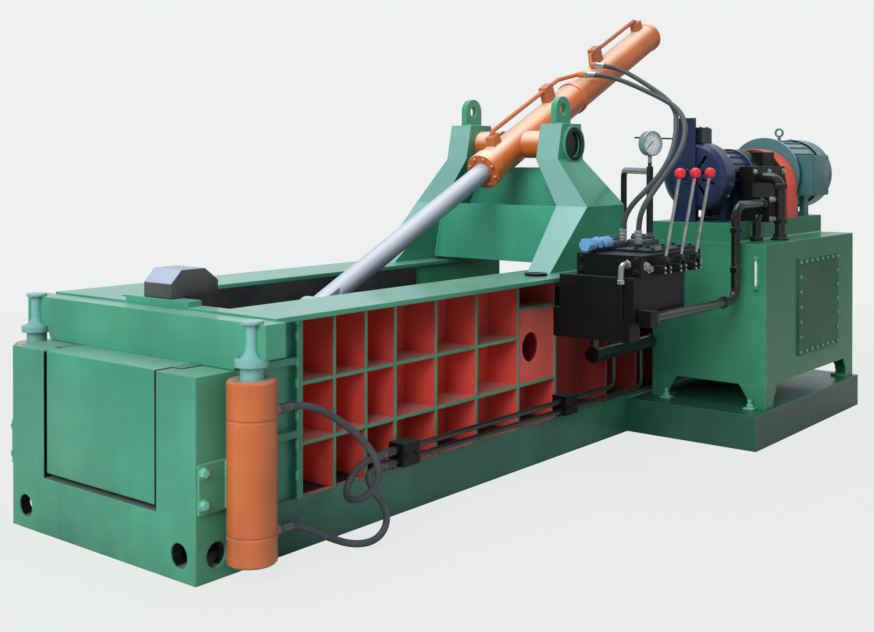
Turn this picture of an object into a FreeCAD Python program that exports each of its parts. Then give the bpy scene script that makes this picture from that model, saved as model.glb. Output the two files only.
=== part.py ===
import FreeCAD, Part
import math
import os

# Hydraulic scrap baler: a ribbed compression chamber with a lifting gate at its front end,
# a rear-hinged lid pressed down by an inclined cylinder between two towers, a main press
# cylinder at the rear, and a power unit on a plinth beside the bed.
#
# Millimetres. X runs from the gate end to the rear, Y from the near side (-) to the far
# side (+), Z up from the floor. X is counted from the gate's face while the pieces are
# made, and every piece is moved at the end so that the origin is the middle of the base.

V = FreeCAD.Vector

# ---------------------------------------------------------------- driving dimensions
BED_LENGTH = 4200.0
BED_HALF_WIDTH = 500.0          # outer planes of the side walls and of the end frame
RAIL_TOP = 797.0                # loading height, top of the rails
RAIL_THICKNESS = 17.0
RAIL_HALF_WIDTH = BED_HALF_WIDTH + 100.0    # outer edges of the rails
CHAMBER_HALF_WIDTH = 300.0      # between the wear plates
WEAR_PLATE = 12.0
WALL_PLATE = 30.0               # inner plate of a side wall
RIB = 12.0
FLOOR_TOP = 193.0               # chamber floor, and the sill of the end frame
BAND_HEIGHT = 172.0             # base band along both sides
BASE_PLATE = 20.0
HIGH_WALL_END = 2696.0          # behind this the side walls step down
LOW_WALL_TOP = 560.0

FRAME_DEPTH = 240.0             # end frame, along X
FRAME_HEIGHT = 635.0
GATE_OPENING = 310.0            # half width between the columns
GATE_GAP = 6.0
GATE_LIFT = 400.0
TONGUE_DEPTH = 40.0
TONGUE_START = 70.0
TONGUE_END = 190.0
LIFT_HOLE_RADIUS = 40.0
CORNER_PLATE = 40.0
LIFT_HOLE_Y = BED_HALF_WIDTH - 80.0
LIFT_HOLE_Z = 78.0
SIDE_HOLE_X = 82.0
FRONT_BEAM_DEPTH = 70.0
FRONT_BEAM_BOTTOM = 600.0
PAD_HEIGHT = 20.0
PAD_HALF_WIDTH = 170.0

CROSSHEAD_FRONT = 152.0
CROSSHEAD_TOP = 790.0
CROSSHEAD_HALF = BED_HALF_WIDTH + 145.0
GATE_CYLINDER_X = 150.0
GATE_CYLINDER_Y = BED_HALF_WIDTH + 85.0
GATE_CYLINDER_RADIUS = 79.0
GATE_CYLINDER_BORE = 62.5
GATE_CYLINDER_BOTTOM = 55.0
GATE_CYLINDER_TOP = 620.0
GATE_ROD_RADIUS = 36.5
GATE_COLLAR_RADIUS = 54.0
GATE_COLLAR_TOP = 682.0
GATE_SHANK_RADIUS = 20.0
GATE_FLARE = 34.0               # hollow curve from the collar up to the shank
GATE_PORTS = (130.0, 508.0)     # heights of the two hose ports
GATE_SEAT_X = (4.0, 150.0)      # plate on the column that the cylinder is welded to
GATE_SEAT_Z = (215.0, 369.0)
GATE_SEAT_PLATE = 12.0
PORT_REACH = 104.0              # from the cylinder's axis to the port's face

LID_FRONT = 325.0
LID_HALF_WIDTH = 280.0
LID_BOTTOM = 550.0
LID_PLATE = 25.0
LID_RIB_TOP = 660.0
HINGE_X = 2120.0
HINGE_Z = 600.0
HINGE_PIN_RADIUS = 40.0
KNUCKLE_RADIUS = 58.0
NOSE_START = 245.0
NOSE_END = 455.0
NOSE_HALF_WIDTH = 75.0
NOSE_TOP = 915.0
NOSE_CHAMFER = 45.0

TRUNNION_X = 2400.0
TRUNNION_Z = 1366.0
LID_PIN_X = 1000.0              # rod pin on the lid, with the lid shut
LID_PIN_Z = 692.0
LID_PIN_RADIUS = 20.0
EYE_RADIUS = 60.0
EYE_HOLE_RADIUS = 43.0          # the linkage is opened here, so the hole has play
LID_BARREL_RADIUS = 80.0
LID_BARREL_BORE = 62.5
LID_BARREL_FRONT = -303.0       # along the cylinder from the trunnion
LID_BARREL_REAR = 1460.0
LID_ROD_RADIUS = 45.0
LID_ROD_HALF_EYE = 35.0
TRUNNION_TUBE_RADIUS = 66.0
TRUNNION_PIN_RADIUS = 60.0
BUSH_RADIUS = 72.5
RUNNING_GAP = 0.05

HEAD_INNER = 205.0              # tower heads, across Y
HEAD_OUTER = 325.0
HEAD_TOP = 1462.0
LEG_INNER = 385.0
KINK_INNER = 333.0
TOWER_KINK_Z = 1080.0
HEAD_BOTTOM_Z = 1295.0
TOWER_FOOT_X = (1935.0, 2577.0)
TOWER_KINK_X = (2245.0, 2577.0)
TOWER_NECK_X = (2270.0, 2490.0)
TOWER_HEAD_X = (2308.0, 2474.0)
FRONT_TIE_X = 2245.0
FRONT_TIE_Z = (812.0, 1078.0)
REAR_TIE_X = 2478.0
REAR_TIE_TOP = 1255.0
TIE_PLATE = 12.0

PRESS_HEAD_FRONT = 2010.0
PRESS_HEAD_LENGTH = 450.0
PRESS_HEAD_HALF = 294.0
PRESS_HEAD_TOP = 528.0
PRESS_AXIS_Z = 362.0
PRESS_BARREL_RADIUS = 136.5
PRESS_BARREL_BORE = 110.0
PRESS_BARREL_FRONT = 2180.0
PRESS_ROD_RADIUS = 80.0
PRESS_STROKE = 1650.0
MOUNT_PLATE = 50.0

# The side unit is laid out for a bed of this half width and moves out with the bed.
LAYOUT_HALF_WIDTH = 500.0
PLINTH_X = (2610.0, 3905.0)
PLINTH_Y = (-1145.0, -LAYOUT_HALF_WIDTH)
PLINTH_TOP = 158.0
TANK_X = (2763.0, 3880.0)
TANK_Y = (-1125.0, -550.0)
TANK_BOTTOM = 262.0
TANK_TOP = 907.0
TANK_SHEET = 8.0
COVER_X = (3130.0, 3645.0)
COVER_Z = (355.0, 818.0)
COVER_PLATE = 10.0
PLATFORM_Y = (-955.0, -550.0)
PLATFORM_TOP = 997.0

MOTOR_Y = -750.0
MOTOR_Z = 1214.0
SHAFT_RADIUS = 20.0
FRONT_COWL_X = (2785.0, 2900.0)
FRONT_COWL_RADIUS = 163.0
FRONT_BODY_X = (2900.0, 3190.0)
FRONT_BODY_RADIUS = 117.0
BELL_X = (3190.0, 3290.0)
BELL_RADIUS = 130.0
PUMP_X = (3290.0, 3425.0)
PUMP_BLOCK_X = (3010.0, 3400.0)
PUMP_BLOCK_Y = (-950.0, -884.0)
PUMP_PORT_X = (3010.0, 3070.0)  # port block of the two pipes on the pump block
PUMP_PORT_Y = -1035.0
PUMP_PORT_Z = (997.0, 1118.0)
REAR_BODY_X = (3600.0, 3960.0)
REAR_BODY_RADIUS = 175.0
REAR_SHIELD_RADIUS = 193.0
REAR_COWL_X = (3960.0, 4110.0)
REAR_COWL_RADIUS = 187.0
GUARD_X = (3450.0, 3575.0)
GUARD_RADIUS = 193.0
GUARD_CENTRE_Z = 1155.0

STAND_X = (1815.0, 2250.0)
STAND_Y = (-980.0, -630.0)
STAND_Z = (640.0, 820.0)
STAND_SKIRT_X = (1815.0, 1900.0)
STAND_SKIRT_Y = (-960.0, -600.0)
STAND_SKIRT_BOTTOM = 560.0
BLOCK_X = (1858.0, 2380.0)
BLOCK_Y = (-990.0, -688.0)
BLOCK_TOP = 908.0
BLOCK_PLATE = 12.0
LEVER_X = BLOCK_X[0] + 132.0    # first of the three hand levers
LEVER_PITCH = 135.0
LEVER_Y = -1025.0
LEVER_Z = 885.0
LEVER_LENGTH = 360.0
LEVER_TILT = 10.8               # degrees towards the operator at rest
KNOB_RADIUS = 22.0
GAUGE_CENTRE = (2345.0, -762.0, 1365.0)
GAUGE_RADIUS = 55.0
GAUGE_TURN = -20.0              # degrees towards the gate from facing square out
RELIEF_RADIUS = 24.0
RELIEF_Y = -752.0
RELIEF_Z = 944.0
RELIEF_X = (1862.0, 2010.0)
MAIN_PIPE_RADIUS = 15.0         # from the valve block, round behind the tower, to the main cylinder
MAIN_PIPE_TOP = 1241.0
MAIN_PIPE_DROP = (2725.0, -413.0)
MAIN_PIPE_LOW = 620.0
MANIFOLD_X = (2215.0, 2740.0)
MANIFOLD_Z = 418.0
MANIFOLD_RADIUS = 32.0

TUBE_Y = -LAYOUT_HALF_WIDTH - 45.0           # hard tubes along the base band
TUBE_RADIUS = 11.0
UPPER_TUBE_Z = 252.0
LOWER_TUBE_Z = 212.0
HOSE_START_X = 815.0
HOSE_RADIUS = 12.0

RETURN_Y = -1007.0
RETURN_DROP_X = 2700.0
RETURN_Z = 655.0
RETURN_PORT_X = (1852.0, 1912.0)

# ---------------------------------------------------------------- hose routes
GATE_HOSE_UPPER = [
    (254, -585, 508), (330, -587, 510), (402, -603, 496), (468, -640, 452), (525, -684, 392),
    (572, -716, 322), (590, -722, 246), (566, -692, 184), (548, -630, 158), (578, -572, 176),
    (648, -548, 222), (730, -545, 252), (815, -545, 252)]
GATE_HOSE_LOWER = [
    (254, -585, 130), (320, -587, 127), (384, -600, 104), (448, -630, 62), (520, -668, 30),
    (600, -690, 26), (668, -682, 56), (700, -652, 108), (690, -606, 152), (698, -565, 194),
    (745, -545, 212), (815, -545, 212)]
LID_HOSE_A = [
    (3066, -45, 1792), (3066, -135, 1782), (3034, -245, 1746), (2982, -350, 1700),
    (2930, -450, 1652), (2866, -550, 1606), (2790, -640, 1556), (2700, -712, 1492),
    (2592, -762, 1412), (2474, -804, 1322), (2346, -823, 1238), (2256, -796, 1162),
    (2210, -744, 1094), (2195, -712, 1022), (2195, -712, 932)]
LID_HOSE_B = [
    (2933, -60, 1734), (2962, -132, 1731), (2946, -248, 1706), (2896, -378, 1662),
    (2838, -500, 1618), (2770, -616, 1576), (2698, -718, 1532), (2618, -796, 1466),
    (2522, -842, 1384), (2414, -862, 1306), (2304, -866, 1234), (2210, -856, 1162),
    (2154, -836, 1094), (2138, -820, 1022), (2138, -820, 932)]


# ---------------------------------------------------------------- helpers
def box(x, y, z):
    """Box between three pairs of limits."""
    return Part.makeBox(x[1] - x[0], y[1] - y[0], z[1] - z[0], V(x[0], y[0], z[0]))


def rod(start, end, radius):
    """Cylinder from one point to another."""
    start, end = V(*start), V(*end)
    return Part.makeCylinder(radius, (end - start).Length, start, end - start)


def prism(points, travel):
    """Closed polygon pushed along a vector."""
    corners = [V(*p) for p in points]
    return Part.Face(Part.makePolygon(corners + corners[:1])).extrude(V(*travel))


def revolved(profile, centre, axis):
    """Turned piece: a closed (radius, height) profile about an axis through a point."""
    corners = [V(r, 0, h) for r, h in profile]
    turned = Part.Face(Part.makePolygon(corners + corners[:1])).revolve(V(0, 0, 0), V(0, 0, 1), 360)
    turned.Placement = FreeCAD.Placement(V(*centre), FreeCAD.Rotation(V(0, 0, 1), V(*axis)))
    return turned


def ring_section(x, y, z):
    """Rectangle at height z, as a wire for a loft."""
    corners = [V(x[0], y[0], z), V(x[1], y[0], z), V(x[1], y[1], z), V(x[0], y[1], z)]
    return Part.makePolygon(corners + corners[:1])


def mirrored(shape):
    """The same piece on the far side."""
    return shape.mirror(V(0, 0, 0), V(0, 1, 0))


def fused(shapes):
    """One solid from several that touch."""
    return shapes[0].multiFuse(shapes[1:]).removeSplitter()


def group(shapes):
    """Several loose solids in one node."""
    return Part.makeCompound(shapes)


def bent_path(points, radii):
    """Straight runs joined by tangent arcs; radii has one value for each inner point."""
    corners = [V(*p) for p in points]
    edges, last = [], corners[0]
    for before, corner, after, radius in zip(corners, corners[1:], corners[2:], radii):
        back = (before - corner).normalize()
        ahead = (after - corner).normalize()
        half_turn = (math.pi - back.getAngle(ahead)) / 2
        leg = radius * math.tan(half_turn)
        middle = (back + ahead).normalize()
        apex = corner + middle * (radius / math.cos(half_turn) - radius)
        start, end = corner + back * leg, corner + ahead * leg
        if (start - last).Length > 0.01:
            edges.append(Part.LineSegment(last, start).toShape())
        edges.append(Part.Arc(start, apex, end).toShape())
        last = end
    if (corners[-1] - last).Length > 0.01:
        edges.append(Part.LineSegment(last, corners[-1]).toShape())
    return Part.Wire(edges)


def swept(path, radius):
    """Round bar along a path."""
    first = path.Edges[0]
    start = first.valueAt(first.FirstParameter)
    profile = Part.Wire(Part.makeCircle(radius, start, first.tangentAt(first.FirstParameter)))
    return path.makePipeShell([profile], True, False)


def pipe(points, radius, bend):
    """Hard pipe with one bend radius."""
    return swept(bent_path(points, [bend] * (len(points) - 2)), radius)


def hose(name, points, radius):
    """Free hose: each arc is as large as its two runs allow."""
    corners = [V(*p) for p in points]
    radii = []
    for before, corner, after in zip(corners, corners[1:], corners[2:]):
        run = min((corner - before).Length, (after - corner).Length)
        turn = math.pi - (before - corner).getAngle(after - corner)
        radii.append(0.45 * run / math.tan(turn / 2))
    path = bent_path(points, radii)
    solid = swept(path, radius)
    ideal = math.pi * radius ** 2 * path.Length
    print(name, "length %.0f" % path.Length, "tightest %.0f" % min(radii),
          "volume ratio %.4f" % (solid.Volume / ideal), "radii", [round(r) for r in radii])
    return solid


# ---------------------------------------------------------------- bed
WALL_INNER = CHAMBER_HALF_WIDTH + WEAR_PLATE
WALL_OUTER = WALL_INNER + WALL_PLATE
RAIL_BOTTOM = RAIL_TOP - RAIL_THICKNESS
BEAM_END = FRAME_DEPTH + FRONT_BEAM_DEPTH
POCKET_RIBS = (606.0, 766.0, 924.0, 1160.0, 1415.0, 1704.0, 1984.0, 2410.0, 2690.0)
REAR_RIB_PITCH = (BED_LENGTH - RIB / 2 - POCKET_RIBS[-1]) / 4
REAR_RIBS = tuple(POCKET_RIBS[-1] + REAR_RIB_PITCH * step for step in range(1, 5))
CORNER_BAR_X = (425.0, 453.0)
UPPER_RIB_Z = 551.0
LOWER_RIB_Z = 350.0
PANEL_RIB_Z = 669.0
PANEL_HOLE = (1803.0, 502.0)
PANEL_HOLE_RADIUS = 63.0


def base_frame():
    """Base plate, side sills and cross members, open at the top."""
    depth = (FRAME_DEPTH, BED_LENGTH)
    inner = BED_HALF_WIDTH - WALL_PLATE
    pieces = [box(depth, (-BED_HALF_WIDTH, BED_HALF_WIDTH), (0, BASE_PLATE))]
    for side in (-1, 1):
        edge = sorted((side * inner, side * BED_HALF_WIDTH))
        pieces.append(box(depth, edge, (BASE_PLATE, BAND_HEIGHT)))
    bays = 8
    pitch = (BED_LENGTH - FRAME_DEPTH - RIB) / bays
    for step in range(bays + 1):
        x = FRAME_DEPTH + step * pitch
        pieces.append(box((x, x + RIB), (-inner, inner), (BASE_PLATE, BAND_HEIGHT - BASE_PLATE)))
    return fused(pieces)


def chamber_floor():
    """Floor plate carried by the cross members."""
    inner = BED_HALF_WIDTH - WALL_PLATE
    return box((FRAME_DEPTH, BED_LENGTH), (-inner, inner), (BAND_HEIGHT - BASE_PLATE, BAND_HEIGHT))


def side_wall():
    """Near side wall: inner plate, ribbed pockets, pierced panel and the rail on top."""
    def across(inner, outer):
        return (-outer, -inner)

    pocket = across(WALL_OUTER, BED_HALF_WIDTH)
    high = (BAND_HEIGHT, RAIL_BOTTOM)
    low = (BAND_HEIGHT, LOW_WALL_TOP - RIB)
    plate = across(WALL_INNER, WALL_OUTER)
    pieces = [box((FRAME_DEPTH, HIGH_WALL_END), plate, high),
              box((HIGH_WALL_END, BED_LENGTH), plate, low),
              box((HIGH_WALL_END, BED_LENGTH), across(WALL_INNER, BED_HALF_WIDTH),
                  (LOW_WALL_TOP - RIB, LOW_WALL_TOP)),
              box((FRAME_DEPTH, HIGH_WALL_END), across(CHAMBER_HALF_WIDTH, RAIL_HALF_WIDTH),
                  (RAIL_BOTTOM, RAIL_TOP)),
              box(CORNER_BAR_X, pocket, high)]
    for x in POCKET_RIBS:
        pieces.append(box((x - RIB / 2, x + RIB / 2), pocket, high))
    for x in REAR_RIBS:
        pieces.append(box((x - RIB / 2, x + RIB / 2), pocket, low))
    panel = (POCKET_RIBS[5], POCKET_RIBS[6])
    for x, z in (((CORNER_BAR_X[1], panel[0]), UPPER_RIB_Z),
                 ((CORNER_BAR_X[1], panel[1]), LOWER_RIB_Z),
                 (panel, PANEL_RIB_Z)):
        pieces.append(box(x, pocket, (z - RIB / 2, z + RIB / 2)))
    corner_panel = across(BED_HALF_WIDTH - 45, BED_HALF_WIDTH - 25)
    pieces.append(box((FRAME_DEPTH, CORNER_BAR_X[0]), corner_panel, high))
    for z in (387.0, 630.0):
        pieces.append(box((FRAME_DEPTH, CORNER_BAR_X[0]), across(BED_HALF_WIDTH - 25, BED_HALF_WIDTH),
                          (z - RIB, z + RIB)))
    pieces.append(box(panel, across(BED_HALF_WIDTH - 18, BED_HALF_WIDTH - 6), (LOWER_RIB_Z, PANEL_RIB_Z)))
    wall = fused(pieces)
    wall = wall.cut(rod((PANEL_HOLE[0], -BED_HALF_WIDTH, PANEL_HOLE[1]),
                        (PANEL_HOLE[0], -WALL_OUTER, PANEL_HOLE[1]), PANEL_HOLE_RADIUS))
    return wall.cut(rod((HINGE_X, -WALL_OUTER, HINGE_Z), (HINGE_X, -WALL_INNER, HINGE_Z),
                        HINGE_PIN_RADIUS))


def wear_plates():
    """Bare steel liners: floor and both walls."""
    floor_plate = box((FRAME_DEPTH, HIGH_WALL_END), (-WALL_INNER, WALL_INNER), (BAND_HEIGHT, FLOOR_TOP))
    near = box((FRAME_DEPTH, PRESS_HEAD_FRONT - 10), (-WALL_INNER, -CHAMBER_HALF_WIDTH),
               (FLOOR_TOP, RAIL_BOTTOM))
    return group([floor_plate, near, mirrored(near)])


def end_frame():
    """U-shaped frame round the gate, with hollow lifting corners and gate grooves."""
    width = (-BED_HALF_WIDTH, BED_HALF_WIDTH)
    frame = box((0, FRAME_DEPTH), width, (0, FRAME_HEIGHT))
    frame = frame.cut(box((0, FRAME_DEPTH), (-GATE_OPENING, GATE_OPENING), (FLOOR_TOP, FRAME_HEIGHT)))
    slot = (TONGUE_START - 4, TONGUE_END + 4)
    for side in (-1, 1):
        edge = sorted((side * GATE_OPENING, side * (GATE_OPENING + TONGUE_DEPTH)))
        frame = frame.cut(box(slot, edge, (FLOOR_TOP, FRAME_HEIGHT)))
        hollow = sorted((side * (BED_HALF_WIDTH - CORNER_PLATE), side * (GATE_OPENING + TONGUE_DEPTH)))
        frame = frame.cut(box((CORNER_PLATE, FRAME_DEPTH - CORNER_PLATE), hollow,
                              (LIFT_HOLE_Z - 48, LIFT_HOLE_Z + 72)))
        frame = frame.cut(rod((0, side * LIFT_HOLE_Y, LIFT_HOLE_Z),
                              (CORNER_PLATE, side * LIFT_HOLE_Y, LIFT_HOLE_Z), LIFT_HOLE_RADIUS))
        frame = frame.cut(rod((SIDE_HOLE_X, side * BED_HALF_WIDTH, LIFT_HOLE_Z),
                              (SIDE_HOLE_X, side * (BED_HALF_WIDTH - CORNER_PLATE), LIFT_HOLE_Z),
                              LIFT_HOLE_RADIUS))
        seat = box(GATE_SEAT_X, sorted((side * BED_HALF_WIDTH, side * (BED_HALF_WIDTH + GATE_SEAT_PLATE))),
                   GATE_SEAT_Z)
        centre = (GATE_CYLINDER_X, side * GATE_CYLINDER_Y)
        frame = frame.fuse(seat.cut(rod(centre + (GATE_SEAT_Z[0],), centre + (GATE_SEAT_Z[1],),
                                        GATE_CYLINDER_RADIUS)))
    return frame


def front_beam():
    """Beam that closes the chamber above the gate opening, with the pad for the lid's nose."""
    beam = box((FRAME_DEPTH, BEAM_END), (-CHAMBER_HALF_WIDTH, CHAMBER_HALF_WIDTH),
               (FRONT_BEAM_BOTTOM, RAIL_TOP))
    pad = box((FRAME_DEPTH, BEAM_END - 10), (-PAD_HALF_WIDTH, PAD_HALF_WIDTH),
              (RAIL_TOP, RAIL_TOP + PAD_HEIGHT))
    return fused([beam, pad])


# ---------------------------------------------------------------- gate
def gate_plate():
    """Sliding gate with a guide tongue down each edge."""
    half = GATE_OPENING - GATE_GAP
    top = FRAME_HEIGHT + 2
    body = box((0, FRAME_DEPTH - 3), (-half, half), (FLOOR_TOP + GATE_GAP, top))
    reach = GATE_OPENING + TONGUE_DEPTH - GATE_GAP
    tongues = box((TONGUE_START, TONGUE_END), (-reach, reach), (FLOOR_TOP + 2 * GATE_GAP, top))
    return fused([body, tongues])


def crosshead():
    """Beam on top of the gate, notched at both ends for the rods."""
    shoulder = BED_HALF_WIDTH
    bottom = FRAME_HEIGHT + 2
    outline = [(-CROSSHEAD_HALF, GATE_COLLAR_TOP), (-shoulder - 20, GATE_COLLAR_TOP),
               (-shoulder, bottom), (shoulder, bottom), (shoulder + 20, GATE_COLLAR_TOP),
               (CROSSHEAD_HALF, GATE_COLLAR_TOP), (CROSSHEAD_HALF, CROSSHEAD_TOP),
               (-CROSSHEAD_HALF, CROSSHEAD_TOP)]
    beam = prism([(CROSSHEAD_FRONT, y, z) for y, z in outline],
                 (FRAME_DEPTH - 3 - CROSSHEAD_FRONT, 0, 0))
    for y in (-GATE_CYLINDER_Y, GATE_CYLINDER_Y):
        beam = beam.cut(rod((GATE_CYLINDER_X, y, bottom), (GATE_CYLINDER_X, y, CROSSHEAD_TOP),
                            GATE_SHANK_RADIUS))
    return beam


def gate_rods():
    """Piston, rod, collar with its hollow flare, shank and cap in one, one each side."""
    piston_bottom = GATE_CYLINDER_BOTTOM + 55
    profile = [(0, piston_bottom), (GATE_CYLINDER_BORE - RUNNING_GAP, piston_bottom),
               (GATE_CYLINDER_BORE - RUNNING_GAP, piston_bottom + 50),
               (GATE_ROD_RADIUS, piston_bottom + 50), (GATE_ROD_RADIUS, GATE_COLLAR_TOP - 22),
               (GATE_COLLAR_RADIUS, GATE_COLLAR_TOP - 22), (GATE_COLLAR_RADIUS, GATE_COLLAR_TOP),
               (GATE_SHANK_RADIUS, GATE_COLLAR_TOP), (GATE_SHANK_RADIUS, CROSSHEAD_TOP),
               (GATE_ROD_RADIUS, CROSSHEAD_TOP), (GATE_ROD_RADIUS, CROSSHEAD_TOP + 10),
               (0, CROSSHEAD_TOP + 10)]
    near = revolved(profile, (GATE_CYLINDER_X, -GATE_CYLINDER_Y, 0), (0, 0, 1))
    axis = (GATE_CYLINDER_X, -GATE_CYLINDER_Y)
    flare_top = GATE_COLLAR_TOP + GATE_FLARE
    flare = rod(axis + (GATE_COLLAR_TOP,), axis + (flare_top,), GATE_COLLAR_RADIUS)
    flare = flare.cut(Part.makeTorus(GATE_COLLAR_RADIUS, GATE_FLARE, V(*axis, flare_top), V(0, 0, 1)))
    flare = flare.cut(box((CROSSHEAD_FRONT - 0.5, FRAME_DEPTH), (-CROSSHEAD_HALF, 0), (0, CROSSHEAD_TOP)))
    near = near.fuse(flare).removeSplitter()
    return group([near, mirrored(near)])


def gate_cylinder():
    """Near gate cylinder with two seams and two hose ports."""
    outer, bore = GATE_CYLINDER_RADIUS, GATE_CYLINDER_BORE
    bottom, top = GATE_CYLINDER_BOTTOM, GATE_CYLINDER_TOP
    gland = GATE_ROD_RADIUS + RUNNING_GAP
    profile = [(0, bottom), (outer - 6, bottom), (outer, bottom + 6)]
    for seam in (bottom + 91, top - 120):
        profile += [(outer, seam - 4), (outer - 3, seam - 4), (outer - 3, seam + 4), (outer, seam + 4)]
    profile += [(outer, top - 6), (outer - 6, top), (gland, top), (gland, top - 35),
                (bore, top - 35), (bore, bottom + 45), (0, bottom + 45)]
    axis = (GATE_CYLINDER_X, -GATE_CYLINDER_Y)
    barrel = revolved(profile, axis + (0,), (0, 0, 1))
    pieces = [barrel]
    for z in GATE_PORTS:
        pieces.append(rod((axis[0] + outer - 5, axis[1], z), (axis[0] + PORT_REACH, axis[1], z), 17))
    return fused(pieces)


# ---------------------------------------------------------------- towers
def tower():
    """Near tower: sloping leg, inward lean and the trunnion head."""
    foot = ring_section(TOWER_FOOT_X, (-BED_HALF_WIDTH, -LEG_INNER), RAIL_TOP)
    kink = ring_section(TOWER_KINK_X, (-BED_HALF_WIDTH, -KINK_INNER), TOWER_KINK_Z)
    neck = ring_section(TOWER_NECK_X, (-HEAD_OUTER, -HEAD_INNER), HEAD_BOTTOM_Z)
    head = ring_section(TOWER_HEAD_X, (-HEAD_OUTER, -HEAD_INNER), HEAD_TOP)
    stages = [Part.makeLoft([low, high], True, True)
              for low, high in ((foot, kink), (kink, neck), (neck, head))]
    body = fused(stages)
    return body.cut(rod((TRUNNION_X, -HEAD_OUTER, TRUNNION_Z), (TRUNNION_X, -HEAD_INNER, TRUNNION_Z),
                        BUSH_RADIUS))


def tower_ties(near, far):
    """Front and rear plates that tie the towers together."""
    reach = (-LEG_INNER - 10, LEG_INNER + 10)
    front = box((FRONT_TIE_X, FRONT_TIE_X + TIE_PLATE), reach, FRONT_TIE_Z)
    rear = box((REAR_TIE_X - TIE_PLATE, REAR_TIE_X), reach, (RAIL_TOP, REAR_TIE_TOP))
    between = []
    for plate in (front, rear):
        trimmed = plate.cut(near).cut(far)
        between.append(max(trimmed.Solids, key=lambda solid: solid.Volume))
    return group(between)


def lifting_eyes():
    """Padeye plate on top of each tower head."""
    thick, width, height, hole = 30.0, 124.0, 130.0, 28.0
    middle_y = -(HEAD_INNER + HEAD_OUTER) / 2
    centre_x = sum(TOWER_HEAD_X) / 2
    top = HEAD_TOP + height - width / 2
    plate = box((centre_x - width / 2, centre_x + width / 2),
                (middle_y - thick / 2, middle_y + thick / 2), (HEAD_TOP, top))
    ends = [(centre_x, middle_y + side * thick / 2, top) for side in (-1, 1)]
    eye = fused([plate, rod(*ends, width / 2)]).cut(rod(*ends, hole))
    return group([eye, mirrored(eye)])


def trunnion_bushes():
    """Flanged bush in each tower head."""
    inner = TRUNNION_PIN_RADIUS + RUNNING_GAP
    profile = [(inner, 0), (BUSH_RADIUS, 0), (BUSH_RADIUS, HEAD_OUTER - HEAD_INNER),
               (BUSH_RADIUS + 16, HEAD_OUTER - HEAD_INNER),
               (BUSH_RADIUS + 16, HEAD_OUTER - HEAD_INNER + 12), (inner, HEAD_OUTER - HEAD_INNER + 12)]
    near = revolved(profile, (TRUNNION_X, -HEAD_INNER, TRUNNION_Z), (0, -1, 0))
    return group([near, mirrored(near)])


# ---------------------------------------------------------------- lid
def lid():
    """Lid plate with ribs, hinge knuckles, rod lugs with their pin, and the eight-sided nose."""
    plate_top = LID_BOTTOM + LID_PLATE
    pieces = [box((LID_FRONT, HINGE_X - 70), (-LID_HALF_WIDTH, LID_HALF_WIDTH), (LID_BOTTOM, plate_top))]
    for y in (-250.0, -100.0, 100.0, 250.0):
        pieces.append(box((NOSE_END + 5, HINGE_X - 70), (y - 10, y + 10), (plate_top, LID_RIB_TOP)))
    for side in (-1, 1):
        lug_y = sorted((side * (LID_ROD_HALF_EYE + 10), side * (LID_ROD_HALF_EYE + 30)))
        pieces.append(box((LID_PIN_X - 90, LID_PIN_X + 90), lug_y, (plate_top, LID_PIN_Z)))
        pieces.append(rod((LID_PIN_X, lug_y[0], LID_PIN_Z), (LID_PIN_X, lug_y[1], LID_PIN_Z), 45))
        knuckle_y = sorted((side * 180, side * 230))
        pieces.append(box((HINGE_X - 160, HINGE_X), knuckle_y, (LID_BOTTOM, HINGE_Z + 40)))
        pieces.append(rod((HINGE_X, knuckle_y[0], HINGE_Z), (HINGE_X, knuckle_y[1], HINGE_Z),
                          KNUCKLE_RADIUS))
    pin_reach = LID_ROD_HALF_EYE + 30
    pieces.append(rod((LID_PIN_X, -pin_reach, LID_PIN_Z), (LID_PIN_X, pin_reach, LID_PIN_Z),
                      LID_PIN_RADIUS))
    half, cut, bottom = NOSE_HALF_WIDTH, NOSE_CHAMFER, RAIL_TOP + PAD_HEIGHT + 1
    outline = [(-half, bottom), (half, bottom), (half, NOSE_TOP - cut), (half - cut, NOSE_TOP),
               (cut - half, NOSE_TOP), (-half, NOSE_TOP - cut)]
    pieces.append(prism([(NOSE_START, y, z) for y, z in outline], (NOSE_END - NOSE_START, 0, 0)))
    pieces.append(box((LID_FRONT, NOSE_END), (-half, half), (plate_top, bottom)))
    bore = rod((HINGE_X, -LID_HALF_WIDTH, HINGE_Z), (HINGE_X, LID_HALF_WIDTH, HINGE_Z),
               HINGE_PIN_RADIUS + RUNNING_GAP)
    return fused(pieces).cut(bore)


def lid_hinge_pin():
    """Pin through both walls with a keeper disc outside each."""
    profile = [(0, -WALL_OUTER - RIB), (60, -WALL_OUTER - RIB), (60, -WALL_OUTER),
               (HINGE_PIN_RADIUS, -WALL_OUTER), (HINGE_PIN_RADIUS, WALL_OUTER), (60, WALL_OUTER),
               (60, WALL_OUTER + RIB), (0, WALL_OUTER + RIB)]
    return revolved(profile, (HINGE_X, 0, HINGE_Z), (0, 1, 0))


LID_RUN = math.hypot(TRUNNION_X - LID_PIN_X, TRUNNION_Z - LID_PIN_Z)
LID_AXIS = ((TRUNNION_X - LID_PIN_X) / LID_RUN, (TRUNNION_Z - LID_PIN_Z) / LID_RUN)


def on_lid_cylinder(along, out=0.0, y=0.0):
    """Point given along and square to the inclined lid cylinder, from the trunnion."""
    return (TRUNNION_X + along * LID_AXIS[0] - out * LID_AXIS[1], y,
            TRUNNION_Z + along * LID_AXIS[1] + out * LID_AXIS[0])


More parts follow.
